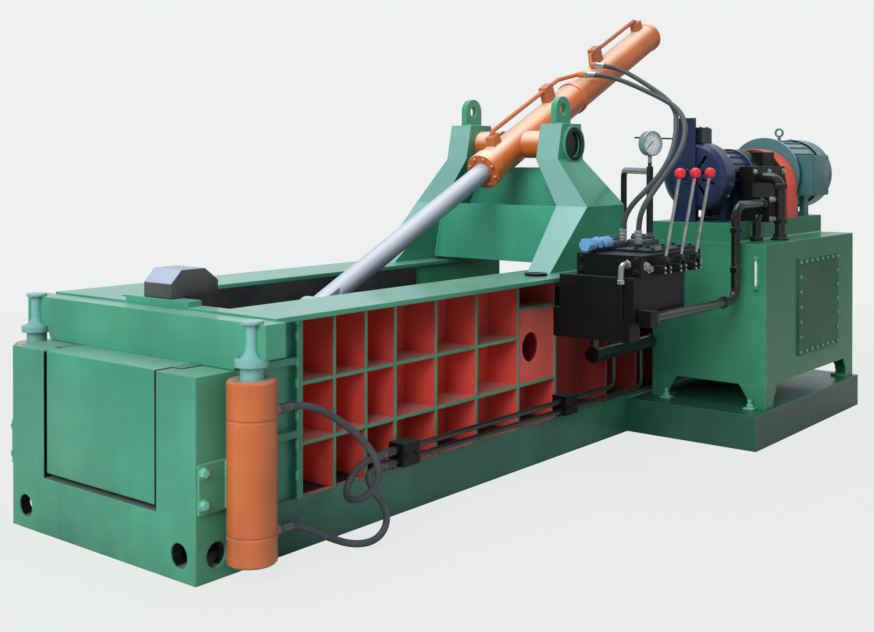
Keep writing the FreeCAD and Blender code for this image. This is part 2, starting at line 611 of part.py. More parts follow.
def lid_barrel():
    """Inclined cylinder barrel with gland, band, end cap and trunnions."""
    r, front, rear = LID_BARREL_RADIUS, LID_BARREL_FRONT, LID_BARREL_REAR
    gland = LID_ROD_RADIUS + RUNNING_GAP
    profile = [(gland, front), (r + 6, front), (r + 8, front + 4), (r + 8, front + 58), (r, front + 62),
               (r, 555), (r + 7, 557), (r + 7, 583), (r, 585), (r, rear - 30), (r + 4, rear - 28),
               (r + 4, rear - 4), (r, rear), (0, rear), (0, rear - 30), (LID_BARREL_BORE, rear - 30),
               (LID_BARREL_BORE, front + 60), (gland, front + 60)]
    direction = (LID_AXIS[0], 0, LID_AXIS[1])
    barrel = revolved(profile, (TRUNNION_X, 0, TRUNNION_Z), direction)
    trunnions = []
    for side in (-1, 1):
        steps = ((TRUNNION_TUBE_RADIUS, LID_BARREL_BORE + 8, HEAD_INNER - 2),
                 (TRUNNION_PIN_RADIUS, HEAD_INNER - 2, HEAD_OUTER - 6))
        for radius, inner, outer in steps:
            trunnions.append(rod((TRUNNION_X, side * inner, TRUNNION_Z),
                                 (TRUNNION_X, side * outer, TRUNNION_Z), radius))
    clear = rod(on_lid_cylinder(front + 60), on_lid_cylinder(rear - 30), LID_BARREL_BORE)
    return barrel.fuse(fused(trunnions).cut(clear)).removeSplitter()


def lid_rod():
    """Rod with its piston and the eye round the lid's pin."""
    eye = rod((LID_PIN_X, -LID_ROD_HALF_EYE, LID_PIN_Z), (LID_PIN_X, LID_ROD_HALF_EYE, LID_PIN_Z),
              EYE_RADIUS)
    shank = rod(on_lid_cylinder(-LID_RUN), on_lid_cylinder(200), LID_ROD_RADIUS)
    shank = shank.common(box((0, BED_LENGTH), (-LID_ROD_HALF_EYE - 20, LID_ROD_HALF_EYE + 20), (0, 2000)))
    piston = rod(on_lid_cylinder(190), on_lid_cylinder(250), LID_BARREL_BORE - RUNNING_GAP)
    hole = rod((LID_PIN_X, -100, LID_PIN_Z), (LID_PIN_X, 100, LID_PIN_Z), EYE_HOLE_RADIUS)
    neck = box((LID_PIN_X - 2 * EYE_RADIUS, LID_PIN_X + 2 * EYE_RADIUS),
               (-2 * EYE_RADIUS, 2 * EYE_RADIUS), (0, LID_PIN_Z + 2 * EYE_RADIUS))
    wide = neck.cut(box((0, BED_LENGTH), (-LID_ROD_HALF_EYE, LID_ROD_HALF_EYE), (0, 2000)))
    return fused([eye, shank, piston]).cut(hole).cut(wide)


PIPE_OUT = 128.0                # height of the hard pipes above the lid cylinder's axis


def lid_pipes():
    """Hard pipes along the lid cylinder, with port blocks, clamps and end fittings."""
    def block(along, half, top):
        start = on_lid_cylinder(along - half, LID_BARREL_RADIUS - 4)
        lid_block = Part.makeBox(2 * half, 44, top - LID_BARREL_RADIUS + 4, V(0, -22, 0))
        angle = -math.degrees(math.atan2(LID_AXIS[1], LID_AXIS[0]))
        lid_block.Placement = FreeCAD.Placement(V(*start), FreeCAD.Rotation(V(0, 1, 0), angle))
        return lid_block

    def before(points, distance):
        step = (V(*points[1]) - V(*points[0])).normalize() * distance
        return tuple(V(*points[0]) - step)

    fitting_b, fitting_a = before(LID_HOSE_B, 34), before(LID_HOSE_A, 26)
    front = pipe([on_lid_cylinder(-160, 110), on_lid_cylinder(-160, PIPE_OUT + 12),
                  on_lid_cylinder(480, PIPE_OUT + 12), fitting_b], 11, 20)
    rear = pipe([on_lid_cylinder(1360, 110), on_lid_cylinder(1360, PIPE_OUT + 8),
                 on_lid_cylinder(830, PIPE_OUT + 8), fitting_a], 11, 20)
    carried = [block(-160, 30, 124), block(1360, 30, 124), block(360, 34, 158), block(880, 34, 158)]
    ends = [rod(fitting_b, LID_HOSE_B[0], 16), rod(fitting_a, LID_HOSE_A[0], 16)]
    barrel = rod(on_lid_cylinder(LID_BARREL_FRONT), on_lid_cylinder(LID_BARREL_REAR), LID_BARREL_RADIUS)
    front_side = fused([front, carried[0], carried[2], ends[0]])
    rear_side = fused([rear, carried[1], carried[3], ends[1]])
    return group([front_side.cut(barrel), rear_side.cut(barrel)])


# ---------------------------------------------------------------- press
def press_head():
    """Press head, hollow behind so that it slides over the cylinder."""
    front, rear = PRESS_HEAD_FRONT, PRESS_HEAD_FRONT + PRESS_HEAD_LENGTH
    head = box((front, rear), (-PRESS_HEAD_HALF, PRESS_HEAD_HALF), (FLOOR_TOP + 0.5, PRESS_HEAD_TOP))
    reach = PRESS_BARREL_RADIUS + 8
    hollow = box((front + 60, rear), (-reach - 60, reach + 60),
                 (PRESS_AXIS_Z - reach, PRESS_AXIS_Z + reach))
    return head.cut(hollow)


def press_rod():
    """Piston rod fixed to the inside of the press head."""
    start = PRESS_HEAD_FRONT + 60
    piston = PRESS_BARREL_FRONT + 80 + PRESS_STROKE + 60
    profile = [(0, start), (PRESS_ROD_RADIUS + 25, start), (PRESS_ROD_RADIUS + 25, start + 30),
               (PRESS_ROD_RADIUS, start + 30), (PRESS_ROD_RADIUS, piston),
               (PRESS_BARREL_BORE - RUNNING_GAP, piston), (PRESS_BARREL_BORE - RUNNING_GAP, piston + 100),
               (0, piston + 100)]
    return revolved(profile, (0, 0, PRESS_AXIS_Z), (1, 0, 0))


def press_cylinder():
    """Main cylinder with gland and rear flange."""
    front, rear = PRESS_BARREL_FRONT, BED_LENGTH - MOUNT_PLATE
    outer, bore, gland = PRESS_BARREL_RADIUS, PRESS_BARREL_BORE, PRESS_ROD_RADIUS + RUNNING_GAP
    profile = [(gland, front), (outer, front), (outer, rear - 40), (outer + 34, rear - 40),
               (outer + 34, rear), (0, rear), (0, rear - 40), (bore, rear - 40), (bore, front + 80),
               (gland, front + 80)]
    return revolved(profile, (0, 0, PRESS_AXIS_Z), (1, 0, 0))


def cylinder_mount():
    """Rear plate that takes the thrust, and a saddle under the barrel."""
    plate = box((BED_LENGTH - MOUNT_PLATE, BED_LENGTH), (-WALL_INNER, WALL_INNER),
                (BAND_HEIGHT, LOW_WALL_TOP))
    saddle = box((3000, 3080), (-150, 150), (BAND_HEIGHT, PRESS_AXIS_Z - 40))
    saddle = saddle.cut(rod((3000, 0, PRESS_AXIS_Z), (3080, 0, PRESS_AXIS_Z), PRESS_BARREL_RADIUS))
    return group([plate, saddle])


# ---------------------------------------------------------------- power unit
def tank_plinth():
    """Plinth under the tank, open below."""
    shell = box(PLINTH_X, PLINTH_Y, (0, PLINTH_TOP))
    sheet = 10.0
    return shell.cut(box((PLINTH_X[0] + sheet, PLINTH_X[1] - sheet),
                         (PLINTH_Y[0] + sheet, PLINTH_Y[1] - sheet), (0, PLINTH_TOP - sheet)))


def oil_tank():
    """Oil tank with an inspection opening in its near side."""
    t = TANK_SHEET
    shell = box(TANK_X, TANK_Y, (TANK_BOTTOM, TANK_TOP))
    shell = shell.cut(box((TANK_X[0] + t, TANK_X[1] - t), (TANK_Y[0] + t, TANK_Y[1] - t),
                          (TANK_BOTTOM + t, TANK_TOP - t)))
    rim = 35.0
    return shell.cut(box((COVER_X[0] + rim, COVER_X[1] - rim), (TANK_Y[0], TANK_Y[0] + t),
                         (COVER_Z[0] + rim, COVER_Z[1] - rim)))


def tank_legs():
    """Angle leg under each corner of the tank, flared where it meets the tank."""
    t, low, flare = TANK_SHEET, PLINTH_TOP, 45.0
    legs = []
    for x, x_in in ((TANK_X[0], 1), (TANK_X[1], -1)):
        for y, y_in in ((TANK_Y[0], 1), (TANK_Y[1], -1)):
            def corner(along_x, along_y, z):
                return (x + x_in * along_x, y + y_in * along_y, z)
            heights = ((85, low), (92, low + 45), (85 + flare, TANK_BOTTOM))
            side = [corner(0, 0, low)] + [corner(0, w, z) for w, z in heights] + [corner(0, 0, TANK_BOTTOM)]
            front = [corner(0, 0, low)] + [corner(w, 0, z) for w, z in heights] + [corner(0, 0, TANK_BOTTOM)]
            foot = box(sorted((x, x + x_in * 85)), sorted((y, y + y_in * 85)), (low, low + 12))
            legs.append(fused([prism(side, (x_in * t, 0, 0)), prism(front, (0, y_in * t, 0)), foot]))
    return group(legs)


def tank_cover():
    """Plate over the inspection opening."""
    return box(COVER_X, (TANK_Y[0] - COVER_PLATE, TANK_Y[0]), COVER_Z)


def hexagon(centre, radius, travel):
    """Hexagonal bolt head that stands along -Y."""
    points = []
    for step in range(6):
        angle = math.radians(60 * step)
        points.append((centre[0] + radius * math.cos(angle), centre[1], centre[2] + radius * math.sin(angle)))
    return prism(points, travel)


def cover_bolts():
    """Bolt heads round the edge of the cover."""
    inset = 16.0
    left, right = COVER_X[0] + inset, COVER_X[1] - inset
    low, high = COVER_Z[0] + inset, COVER_Z[1] - inset
    across, up = 7, 6
    places = [(left + (right - left) * i / across, z) for i in range(across + 1) for z in (low, high)]
    places += [(x, low + (high - low) * i / up) for i in range(1, up) for x in (left, right)]
    face = TANK_Y[0] - COVER_PLATE
    return group([hexagon((x, face, z), 9, (0, -7, 0)) for x, z in places])


def level_gauge():
    """Level glass on the tank's left face."""
    return box((TANK_X[0] - 16, TANK_X[0]), (-1092, -1068), (700, 852))


def motor_platform():
    """Raised base on the tank for the motors and the pump, a channel open below."""
    top_x = TANK_X
    shell = box(top_x, PLATFORM_Y, (TANK_TOP, PLATFORM_TOP))
    t = TIE_PLATE
    return shell.cut(box((top_x[0] + t, top_x[1] - t), (PLATFORM_Y[0] + t, PLATFORM_Y[1] - t),
                         (TANK_TOP, PLATFORM_TOP - t)))


HOSE_PLATE_X = (TANK_X[0] + 1, TANK_X[0] + 1 + TIE_PLATE)
HOSE_PLATE_Y = (-772.0, -660.0)
HOSE_PLATE_TOP = 1490.0


def hose_plate():
    """Upright plate at the end of the platform that the lid hoses pass over."""
    x = HOSE_PLATE_X
    plate = box(x, HOSE_PLATE_Y, (PLATFORM_TOP, HOSE_PLATE_TOP))
    boss = rod((x[0] - 10, -725, MOTOR_Z), (x[0], -725, MOTOR_Z), 34)
    return fused([plate, boss]).cut(rod((x[0] - 10, -725, MOTOR_Z), (x[1], -725, MOTOR_Z), 24))


def motor_body(x, radius, shield_radius, shield_x, fins, feet_x):
    """Finned motor frame with its end shield, feet and a through bore for the shaft."""
    centre = (MOTOR_Y, MOTOR_Z)
    pieces = [rod((x[0], *centre), (x[1], *centre), radius)]
    fin_height, fin_width = 8.0, 5.0
    for step in range(fins):
        angle = 360.0 * (step + 0.5) / fins
        if 245 < angle < 295:
            continue
        fin = Part.makeBox(x[1] - x[0] - 60, fin_width, fin_height + 4,
                           V(x[0] + 30, -fin_width / 2, radius - 4))
        fin.rotate(V(0, 0, 0), V(1, 0, 0), angle - 90)
        fin.translate(V(0, *centre))
        pieces.append(fin)
    pieces.append(rod((shield_x, *centre), (shield_x + 22, *centre), shield_radius))
    for foot in feet_x:
        spread = 0.82 * radius
        pieces.append(box((foot, foot + 60), (MOTOR_Y - spread, MOTOR_Y + spread),
                          (PLATFORM_TOP, PLATFORM_TOP + 16)))
        for side in (-1, 1):
            web = sorted((MOTOR_Y + side * spread, MOTOR_Y + side * (spread - 26)))
            pieces.append(box((foot, foot + 60), web, (PLATFORM_TOP, MOTOR_Z - 0.4 * radius)))
    return fused(pieces).cut(rod((x[0], *centre), (x[1], *centre), SHAFT_RADIUS + RUNNING_GAP))


def fan_cover(x, radius, open_end):
    """Cup over the fan with a ring of slots in its end; open_end is 0 or 1."""
    sheet = 4.0
    closed = x[1 - open_end]
    towards = 1 if closed == x[0] else -1
    length = x[1] - x[0]
    profile = [(0, 0), (radius - 22, 0), (radius, 22), (radius, length), (radius - sheet, length),
               (radius - sheet, 24), (radius - 24, sheet), (0, sheet)]
    cup = revolved(profile, (closed, MOTOR_Y, MOTOR_Z), (towards, 0, 0))
    slots = 10
    for step in range(slots):
        angle = 360.0 * step / slots
        slot = Part.makeBox(3 * sheet, 14, 0.42 * radius, V(-1.5 * sheet, -7, 0.3 * radius))
        slot.rotate(V(0, 0, 0), V(1, 0, 0), angle)
        slot.translate(V(closed, MOTOR_Y, MOTOR_Z))
        cup = cup.cut(slot)
    return cup


def rotor(shaft_x, fan_x, fan_radius, hub_x, hub_radius):
    """Shaft with its fan and coupling hub."""
    centre = (MOTOR_Y, MOTOR_Z)
    pieces = [rod((shaft_x[0], *centre), (shaft_x[1], *centre), SHAFT_RADIUS),
              rod((hub_x[0], *centre), (hub_x[1], *centre), hub_radius),
              rod((fan_x[0], *centre), (fan_x[1], *centre), 0.4 * fan_radius)]
    for step in range(6):
        blade = Part.makeBox(fan_x[1] - fan_x[0], 5, fan_radius - 12, V(fan_x[0], -2.5, 12))
        blade.rotate(V(0, 0, 0), V(1, 0, 0), 60 * step)
        blade.translate(V(0, *centre))
        pieces.append(blade)
    return fused(pieces)


def terminal_boxes():
    """Terminal box on top of the front motor's cowl and on the near side of the rear motor."""
    front_cowl = rod((FRONT_COWL_X[0], MOTOR_Y, MOTOR_Z), (FRONT_COWL_X[1], MOTOR_Y, MOTOR_Z),
                     FRONT_COWL_RADIUS)
    front = box((2792, 2895), (MOTOR_Y - 45, MOTOR_Y + 45), (MOTOR_Z + 120, 1440)).cut(front_cowl)
    reach = REAR_BODY_RADIUS + 8.5
    body = rod((REAR_BODY_X[0], MOTOR_Y, MOTOR_Z), (REAR_BODY_X[1], MOTOR_Y, MOTOR_Z), reach)
    rear = box((3660, 3870), (MOTOR_Y - reach - 62, MOTOR_Y - 100), (1105, 1316)).cut(body)
    return group([front, rear])


def pump_housing():
    """Bell housing, pump body and the valve block on the platform's near edge."""
    centre = (MOTOR_Y, MOTOR_Z)
    bell = rod((BELL_X[0], *centre), (BELL_X[1], *centre), BELL_RADIUS)
    body = box(PUMP_X, (-884, MOTOR_Y + BELL_RADIUS - 10), (1088, 1330))
    foot = box((BELL_X[0] + 30, PUMP_X[1] - 20), (MOTOR_Y - 110, MOTOR_Y + 110), (PLATFORM_TOP, 1120))
    block = box(PUMP_BLOCK_X, PUMP_BLOCK_Y, (PLATFORM_TOP, 1260))
    port = box(PUMP_PORT_X, (PUMP_PORT_Y, PUMP_BLOCK_Y[0]), PUMP_PORT_Z)
    solid = fused([bell, body, foot, block, port])
    solid = solid.cut(rod((BELL_X[0], *centre), (BELL_X[1] - 20, *centre), 78))
    return solid.cut(rod((PUMP_X[1] - 40, *centre), (PUMP_X[1], *centre), SHAFT_RADIUS + RUNNING_GAP))


def coupling_guard():
    """Arched sheet guard over the rear motor's coupling."""
    sheet = 8.0
    depth = GUARD_X[1] - GUARD_X[0]
    outer = fused([rod((GUARD_X[0], MOTOR_Y, GUARD_CENTRE_Z), (GUARD_X[1], MOTOR_Y, GUARD_CENTRE_Z),
                       GUARD_RADIUS),
                   box(GUARD_X, (MOTOR_Y - GUARD_RADIUS, MOTOR_Y + GUARD_RADIUS),
                       (PLATFORM_TOP, GUARD_CENTRE_Z))])
    inner_radius = GUARD_RADIUS - sheet
    inner = fused([rod((GUARD_X[0], MOTOR_Y, GUARD_CENTRE_Z), (GUARD_X[1], MOTOR_Y, GUARD_CENTRE_Z),
                       inner_radius),
                   box(GUARD_X, (MOTOR_Y - inner_radius, MOTOR_Y + inner_radius),
                       (PLATFORM_TOP - 300, GUARD_CENTRE_Z))])
    trim = Part.makeBox(depth, 4 * GUARD_RADIUS, 400,
                        V(GUARD_X[0], MOTOR_Y - 2 * GUARD_RADIUS, PLATFORM_TOP - 400))
    return outer.cut(inner).cut(trim)


def pump_pipes():
    """Suction pipes between the tank's top and the pump's block, the short one with a foot nut."""
    tall = pipe([(3110, -1047, TANK_TOP), (3110, -1047, 1205), (3110, PUMP_BLOCK_Y[0], 1205)], 25, 55)
    x, y, z = PUMP_PORT_X[0] - 48, PUMP_PORT_Y + 42, PUMP_PORT_Z[0] + 27
    short = pipe([(x, y, TANK_TOP), (x, y, z), (PUMP_PORT_X[0], y, z)], 20, 36)
    nut = rod((x, y, TANK_TOP), (x, y, TANK_TOP + 22), 30)
    return group([tall, fused([short, nut])])


def return_pipe():
    """Thick pipe from the pump block, down the tank's face and along to the valve stand."""
    return pipe([(PUMP_PORT_X[0], RETURN_Y, 1084), (RETURN_DROP_X, RETURN_Y, 1084),
                 (RETURN_DROP_X, RETURN_Y, RETURN_Z), (RETURN_PORT_X[1], RETURN_Y, RETURN_Z)], 21, 62)


# ---------------------------------------------------------------- valves
def valve_stand():
    """Carrier box of the valves, with its skirt, pipe port and the arms to the wall's ribs."""
    port = box(RETURN_PORT_X, (RETURN_Y - 29, STAND_Y[0]), (RETURN_Z - 30, RETURN_Z + 35))
    plate = box((POCKET_RIBS[6] - RIB / 2, POCKET_RIBS[7] + RIB / 2),
                (-LAYOUT_HALF_WIDTH - 12, -LAYOUT_HALF_WIDTH), (STAND_Z[0], 740))
    arms = [box((x, x + 20), (STAND_Y[1], -LAYOUT_HALF_WIDTH - 12), (STAND_Z[0], 740))
            for x in (POCKET_RIBS[6] + 16, STAND_X[1] - 100)]
    skirt = box(STAND_SKIRT_X, STAND_SKIRT_Y, (STAND_SKIRT_BOTTOM, STAND_Z[0] + 40))
    return fused([box(STAND_X, STAND_Y, STAND_Z), skirt, port, plate] + arms)


def valve_block():
    """Sectional valve body with the spool housings, hose bosses and lever brackets."""
    body = box(BLOCK_X, BLOCK_Y, (STAND_Z[1], BLOCK_TOP))
    top_plate = box((BLOCK_X[0] + 137, BLOCK_X[1] - 5), (BLOCK_Y[0] + 20, RELIEF_Y - 32),
                    (BLOCK_TOP, BLOCK_TOP + BLOCK_PLATE))
    seat = box((RELIEF_X[0] + 20, RELIEF_X[1] - 10), (RELIEF_Y - 22, RELIEF_Y + 22), (BLOCK_TOP, RELIEF_Z))
    pieces = [body, top_plate, seat]
    for index in range(3):
        x = LEVER_X + index * LEVER_PITCH
        pieces.append(box((x - 30, x + 30), (LEVER_Y - 12, BLOCK_Y[0]), (STAND_Z[1] + 8, LEVER_Z - 22)))
    for x, y in ((LID_HOSE_A[-1][0], LID_HOSE_A[-1][1]), (LID_HOSE_B[-1][0], LID_HOSE_B[-1][1])):
        pieces.append(rod((x, y, BLOCK_TOP), (x, y, LID_HOSE_A[-1][2]), 17))
    solid = fused(pieces)
    solid = solid.cut(rod((RELIEF_X[0], RELIEF_Y, RELIEF_Z), (RELIEF_X[1], RELIEF_Y, RELIEF_Z),
                          RELIEF_RADIUS))
    slots = [box((LEVER_X + i * LEVER_PITCH - 14, LEVER_X + i * LEVER_PITCH + 14),
                 (LEVER_Y - 12, BLOCK_Y[0]), (LEVER_Z - 60, LEVER_Z - 22)) for i in range(3)]
    for slot in slots:
        solid = solid.cut(slot)
    return fused([solid] + lever_brackets())


def lever(index):
    """Hand lever with its fulcrum hub and ball knob."""
    x = LEVER_X + index * LEVER_PITCH
    tilt = math.radians(LEVER_TILT)
    lean = (0, -math.sin(tilt), math.cos(tilt))

    def up(distance):
        return (x, LEVER_Y + lean[1] * distance, LEVER_Z + lean[2] * distance)

    hub = rod((x - 13, LEVER_Y, LEVER_Z), (x + 13, LEVER_Y, LEVER_Z), 14)
    stick = rod(up(8), up(LEVER_LENGTH - KNOB_RADIUS + 4), 6.5)
    knob = Part.makeSphere(KNOB_RADIUS, V(*up(LEVER_LENGTH)))
    return fused([hub, stick, knob])


def lever_brackets():
    """Fulcrum cheeks and pin for each lever, on top of the spool housings."""
    pins = []
    for index in range(3):
        x = LEVER_X + index * LEVER_PITCH
        cheeks = [box(sorted((x + side * 14, x + side * 24)), (LEVER_Y - 12, LEVER_Y + 12),
                      (LEVER_Z - 22, LEVER_Z + 12)) for side in (-1, 1)]
        pin = rod((x - 24, LEVER_Y, LEVER_Z), (x + 24, LEVER_Y, LEVER_Z), 5)
        pins.append(fused(cheeks + [pin]))
    return pins


def relief_valve():
    """Relief valve cartridge lying on the block."""
    centre = (RELIEF_Y, RELIEF_Z)
    body = rod((RELIEF_X[0], *centre), (RELIEF_X[1], *centre), RELIEF_RADIUS)
    collar = rod((RELIEF_X[0] - 10, *centre), (RELIEF_X[0], *centre), 0.8 * RELIEF_RADIUS)
    bore = rod((RELIEF_X[0] - 10, *centre), (RELIEF_X[0] + 30, *centre), 8 + RUNNING_GAP)
    return fused([body, collar]).cut(bore)


def relief_knob():
    """Turning knob of the relief valve on its screw."""
    centre = (RELIEF_Y, RELIEF_Z)
    screw = rod((RELIEF_X[0] - 16, *centre), (RELIEF_X[0] + 20, *centre), 8)
    knob = hexagon_x((RELIEF_X[0] - 48, *centre), 28, 36)
    return fused([screw, knob])


def hexagon_x(centre, radius, length):
    """Hexagonal prism along +X."""
    points = []
    for step in range(6):
        angle = math.radians(60 * step)
        points.append((centre[0], centre[1] + radius * math.cos(angle), centre[2] + radius * math.sin(angle)))
    return prism(points, (length, 0, 0))


def pressure_gauge():
    """Gauge case, open in front, facing the operator."""
    x, y, z = GAUGE_CENTRE
    profile = [(0, 0), (GAUGE_RADIUS - 6, 0), (GAUGE_RADIUS, 6), (GAUGE_RADIUS, 38), (GAUGE_RADIUS - 5, 38),
               (GAUGE_RADIUS - 5, 24), (3 + RUNNING_GAP, 24), (3 + RUNNING_GAP, 10), (0, 10)]
    case = revolved(profile, (x, y + 19, z), (0, -1, 0))
    stem = rod((x, y, z - GAUGE_RADIUS - 30), (x, y, z - GAUGE_RADIUS + 3), 9)
    gauge = fused([case, stem])
    gauge.rotate(V(x, y, z), V(0, 0, 1), GAUGE_TURN)
    return gauge


def gauge_needle():
    """Needle on its spindle."""
    x, y, z = GAUGE_CENTRE
    spindle = rod((x, y + 7, z), (x, y - 11, z), 3)
    needle = prism([(x - 3, y - 8, z - 14), (x + 3, y - 8, z - 14), (x + 1, y - 8, z + 40),
                    (x - 1, y - 8, z + 40)], (0, -2, 0))
    needle.rotate(V(x, y, z), V(0, 1, 0), -135)
    whole = fused([spindle, needle])
    whole.rotate(V(x, y, z), V(0, 0, 1), GAUGE_TURN)
    return whole


def valve_pipes():
    """Main pipe with the gauge on its corner, gauge line, and the manifold with its riser."""
    x, y, z = GAUGE_CENTRE
    drop_x, drop_y = MAIN_PIPE_DROP
    top, low = MAIN_PIPE_TOP, MAIN_PIPE_LOW
    upright = rod((x, y, BLOCK_TOP), (x, y, top + 22), MAIN_PIPE_RADIUS)
    stub = rod((x, y, top), (x, y, z - GAUGE_RADIUS - 30), 9)
    across = pipe([(x, y, top), (drop_x, drop_y, top), (drop_x, drop_y, low), (drop_x, 0, low),
                   (drop_x, 0, PRESS_AXIS_Z + PRESS_BARREL_RADIUS - 12)], MAIN_PIPE_RADIUS, 45)
    barrel = rod((PRESS_BARREL_FRONT, 0, PRESS_AXIS_Z), (BED_LENGTH, 0, PRESS_AXIS_Z), PRESS_BARREL_RADIUS)
    main_pipe = fused([upright, stub, across]).cut(barrel)
    back = y + 24
    line_y = HOSE_PLATE_Y[1] - 14
    line = pipe([(x + 9, back, z + 27), (x + 9, line_y, z + 27), (HOSE_PLATE_X[0], line_y, z + 27)], 4, 20)
    manifold = rod((MANIFOLD_X[0], TUBE_Y, MANIFOLD_Z), (MANIFOLD_X[1], TUBE_Y, MANIFOLD_Z), MANIFOLD_RADIUS)
    ends = [rod((end, TUBE_Y, MANIFOLD_Z), (end + 24, TUBE_Y, MANIFOLD_Z), MANIFOLD_RADIUS + 4)
            for end in (MANIFOLD_X[0], MANIFOLD_X[1] - 24)]
    riser_x = MANIFOLD_X[0] + 22
    riser = pipe([(riser_x, TUBE_Y, MANIFOLD_Z + 12), (riser_x, TUBE_Y, 760),
                  (riser_x, STAND_Y[1], 760)], 20, 45)
    return group([main_pipe, line, fused([manifold, riser] + ends)])


def wall_tubes():
    """Two hard tubes along the base band, each with a hose fitting in front."""
    tubes = []
    for z, rise_x in ((UPPER_TUBE_Z, 2400), (LOWER_TUBE_Z, 2655)):
        tube = pipe([(HOSE_START_X + 40, TUBE_Y, z), (rise_x, TUBE_Y, z), (rise_x, TUBE_Y, MANIFOLD_Z)],
                    TUBE_RADIUS, 40)
        fitting = rod((HOSE_START_X, TUBE_Y, z), (HOSE_START_X + 45, TUBE_Y, z), TUBE_RADIUS + 5)
        tubes.append(fused([tube, fitting]))
    return group(tubes)


def tube_clamps(tubes):
    """Clamp blocks that hold both tubes to the base band's ribs."""
    clamps = []
    for x in (886, 1960):
        block = box((x, x + 90), (TUBE_Y - 27, -LAYOUT_HALF_WIDTH), (LOWER_TUBE_Z - 20, UPPER_TUBE_Z + 24))
        clamps.append(block.cut(tubes))
    return group(clamps)


# ---------------------------------------------------------------- pieces and files
def trimmed_pipes(pipes, others):
    """Pipes cut back flush where they enter another piece."""
    for other in others:
        pipes = pipes.cut(other)
    return pipes


SIDE_UNIT = ("tank_plinth", "oil_tank", "tank_legs", "tank_cover", "cover_bolts", "level_gauge",
             "motor_platform", "hose_plate", "front_motor", "rear_motor", "fan_covers",
             "terminal_boxes", "front_rotor", "rear_rotor", "pump_housing", "coupling_guard",
             "pump_pipes", "return_pipe", "valve_stand", "valve_block", "relief_valve",
             "relief_knob", "pressure_gauge", "gauge_needle", "valve_pipes", "wall_tubes",
             "tube_clamps", "gate_hose_upper", "gate_hose_lower", "lever_1", "lever_2", "lever_3")


def with_far_end_moved(points, outward):
    """Hose route whose far end moves out by a distance, and the rest in proportion."""
    last = len(points) - 1
    return [(x, y - outward * index / last, z) for index, (x, y, z) in enumerate(points)]


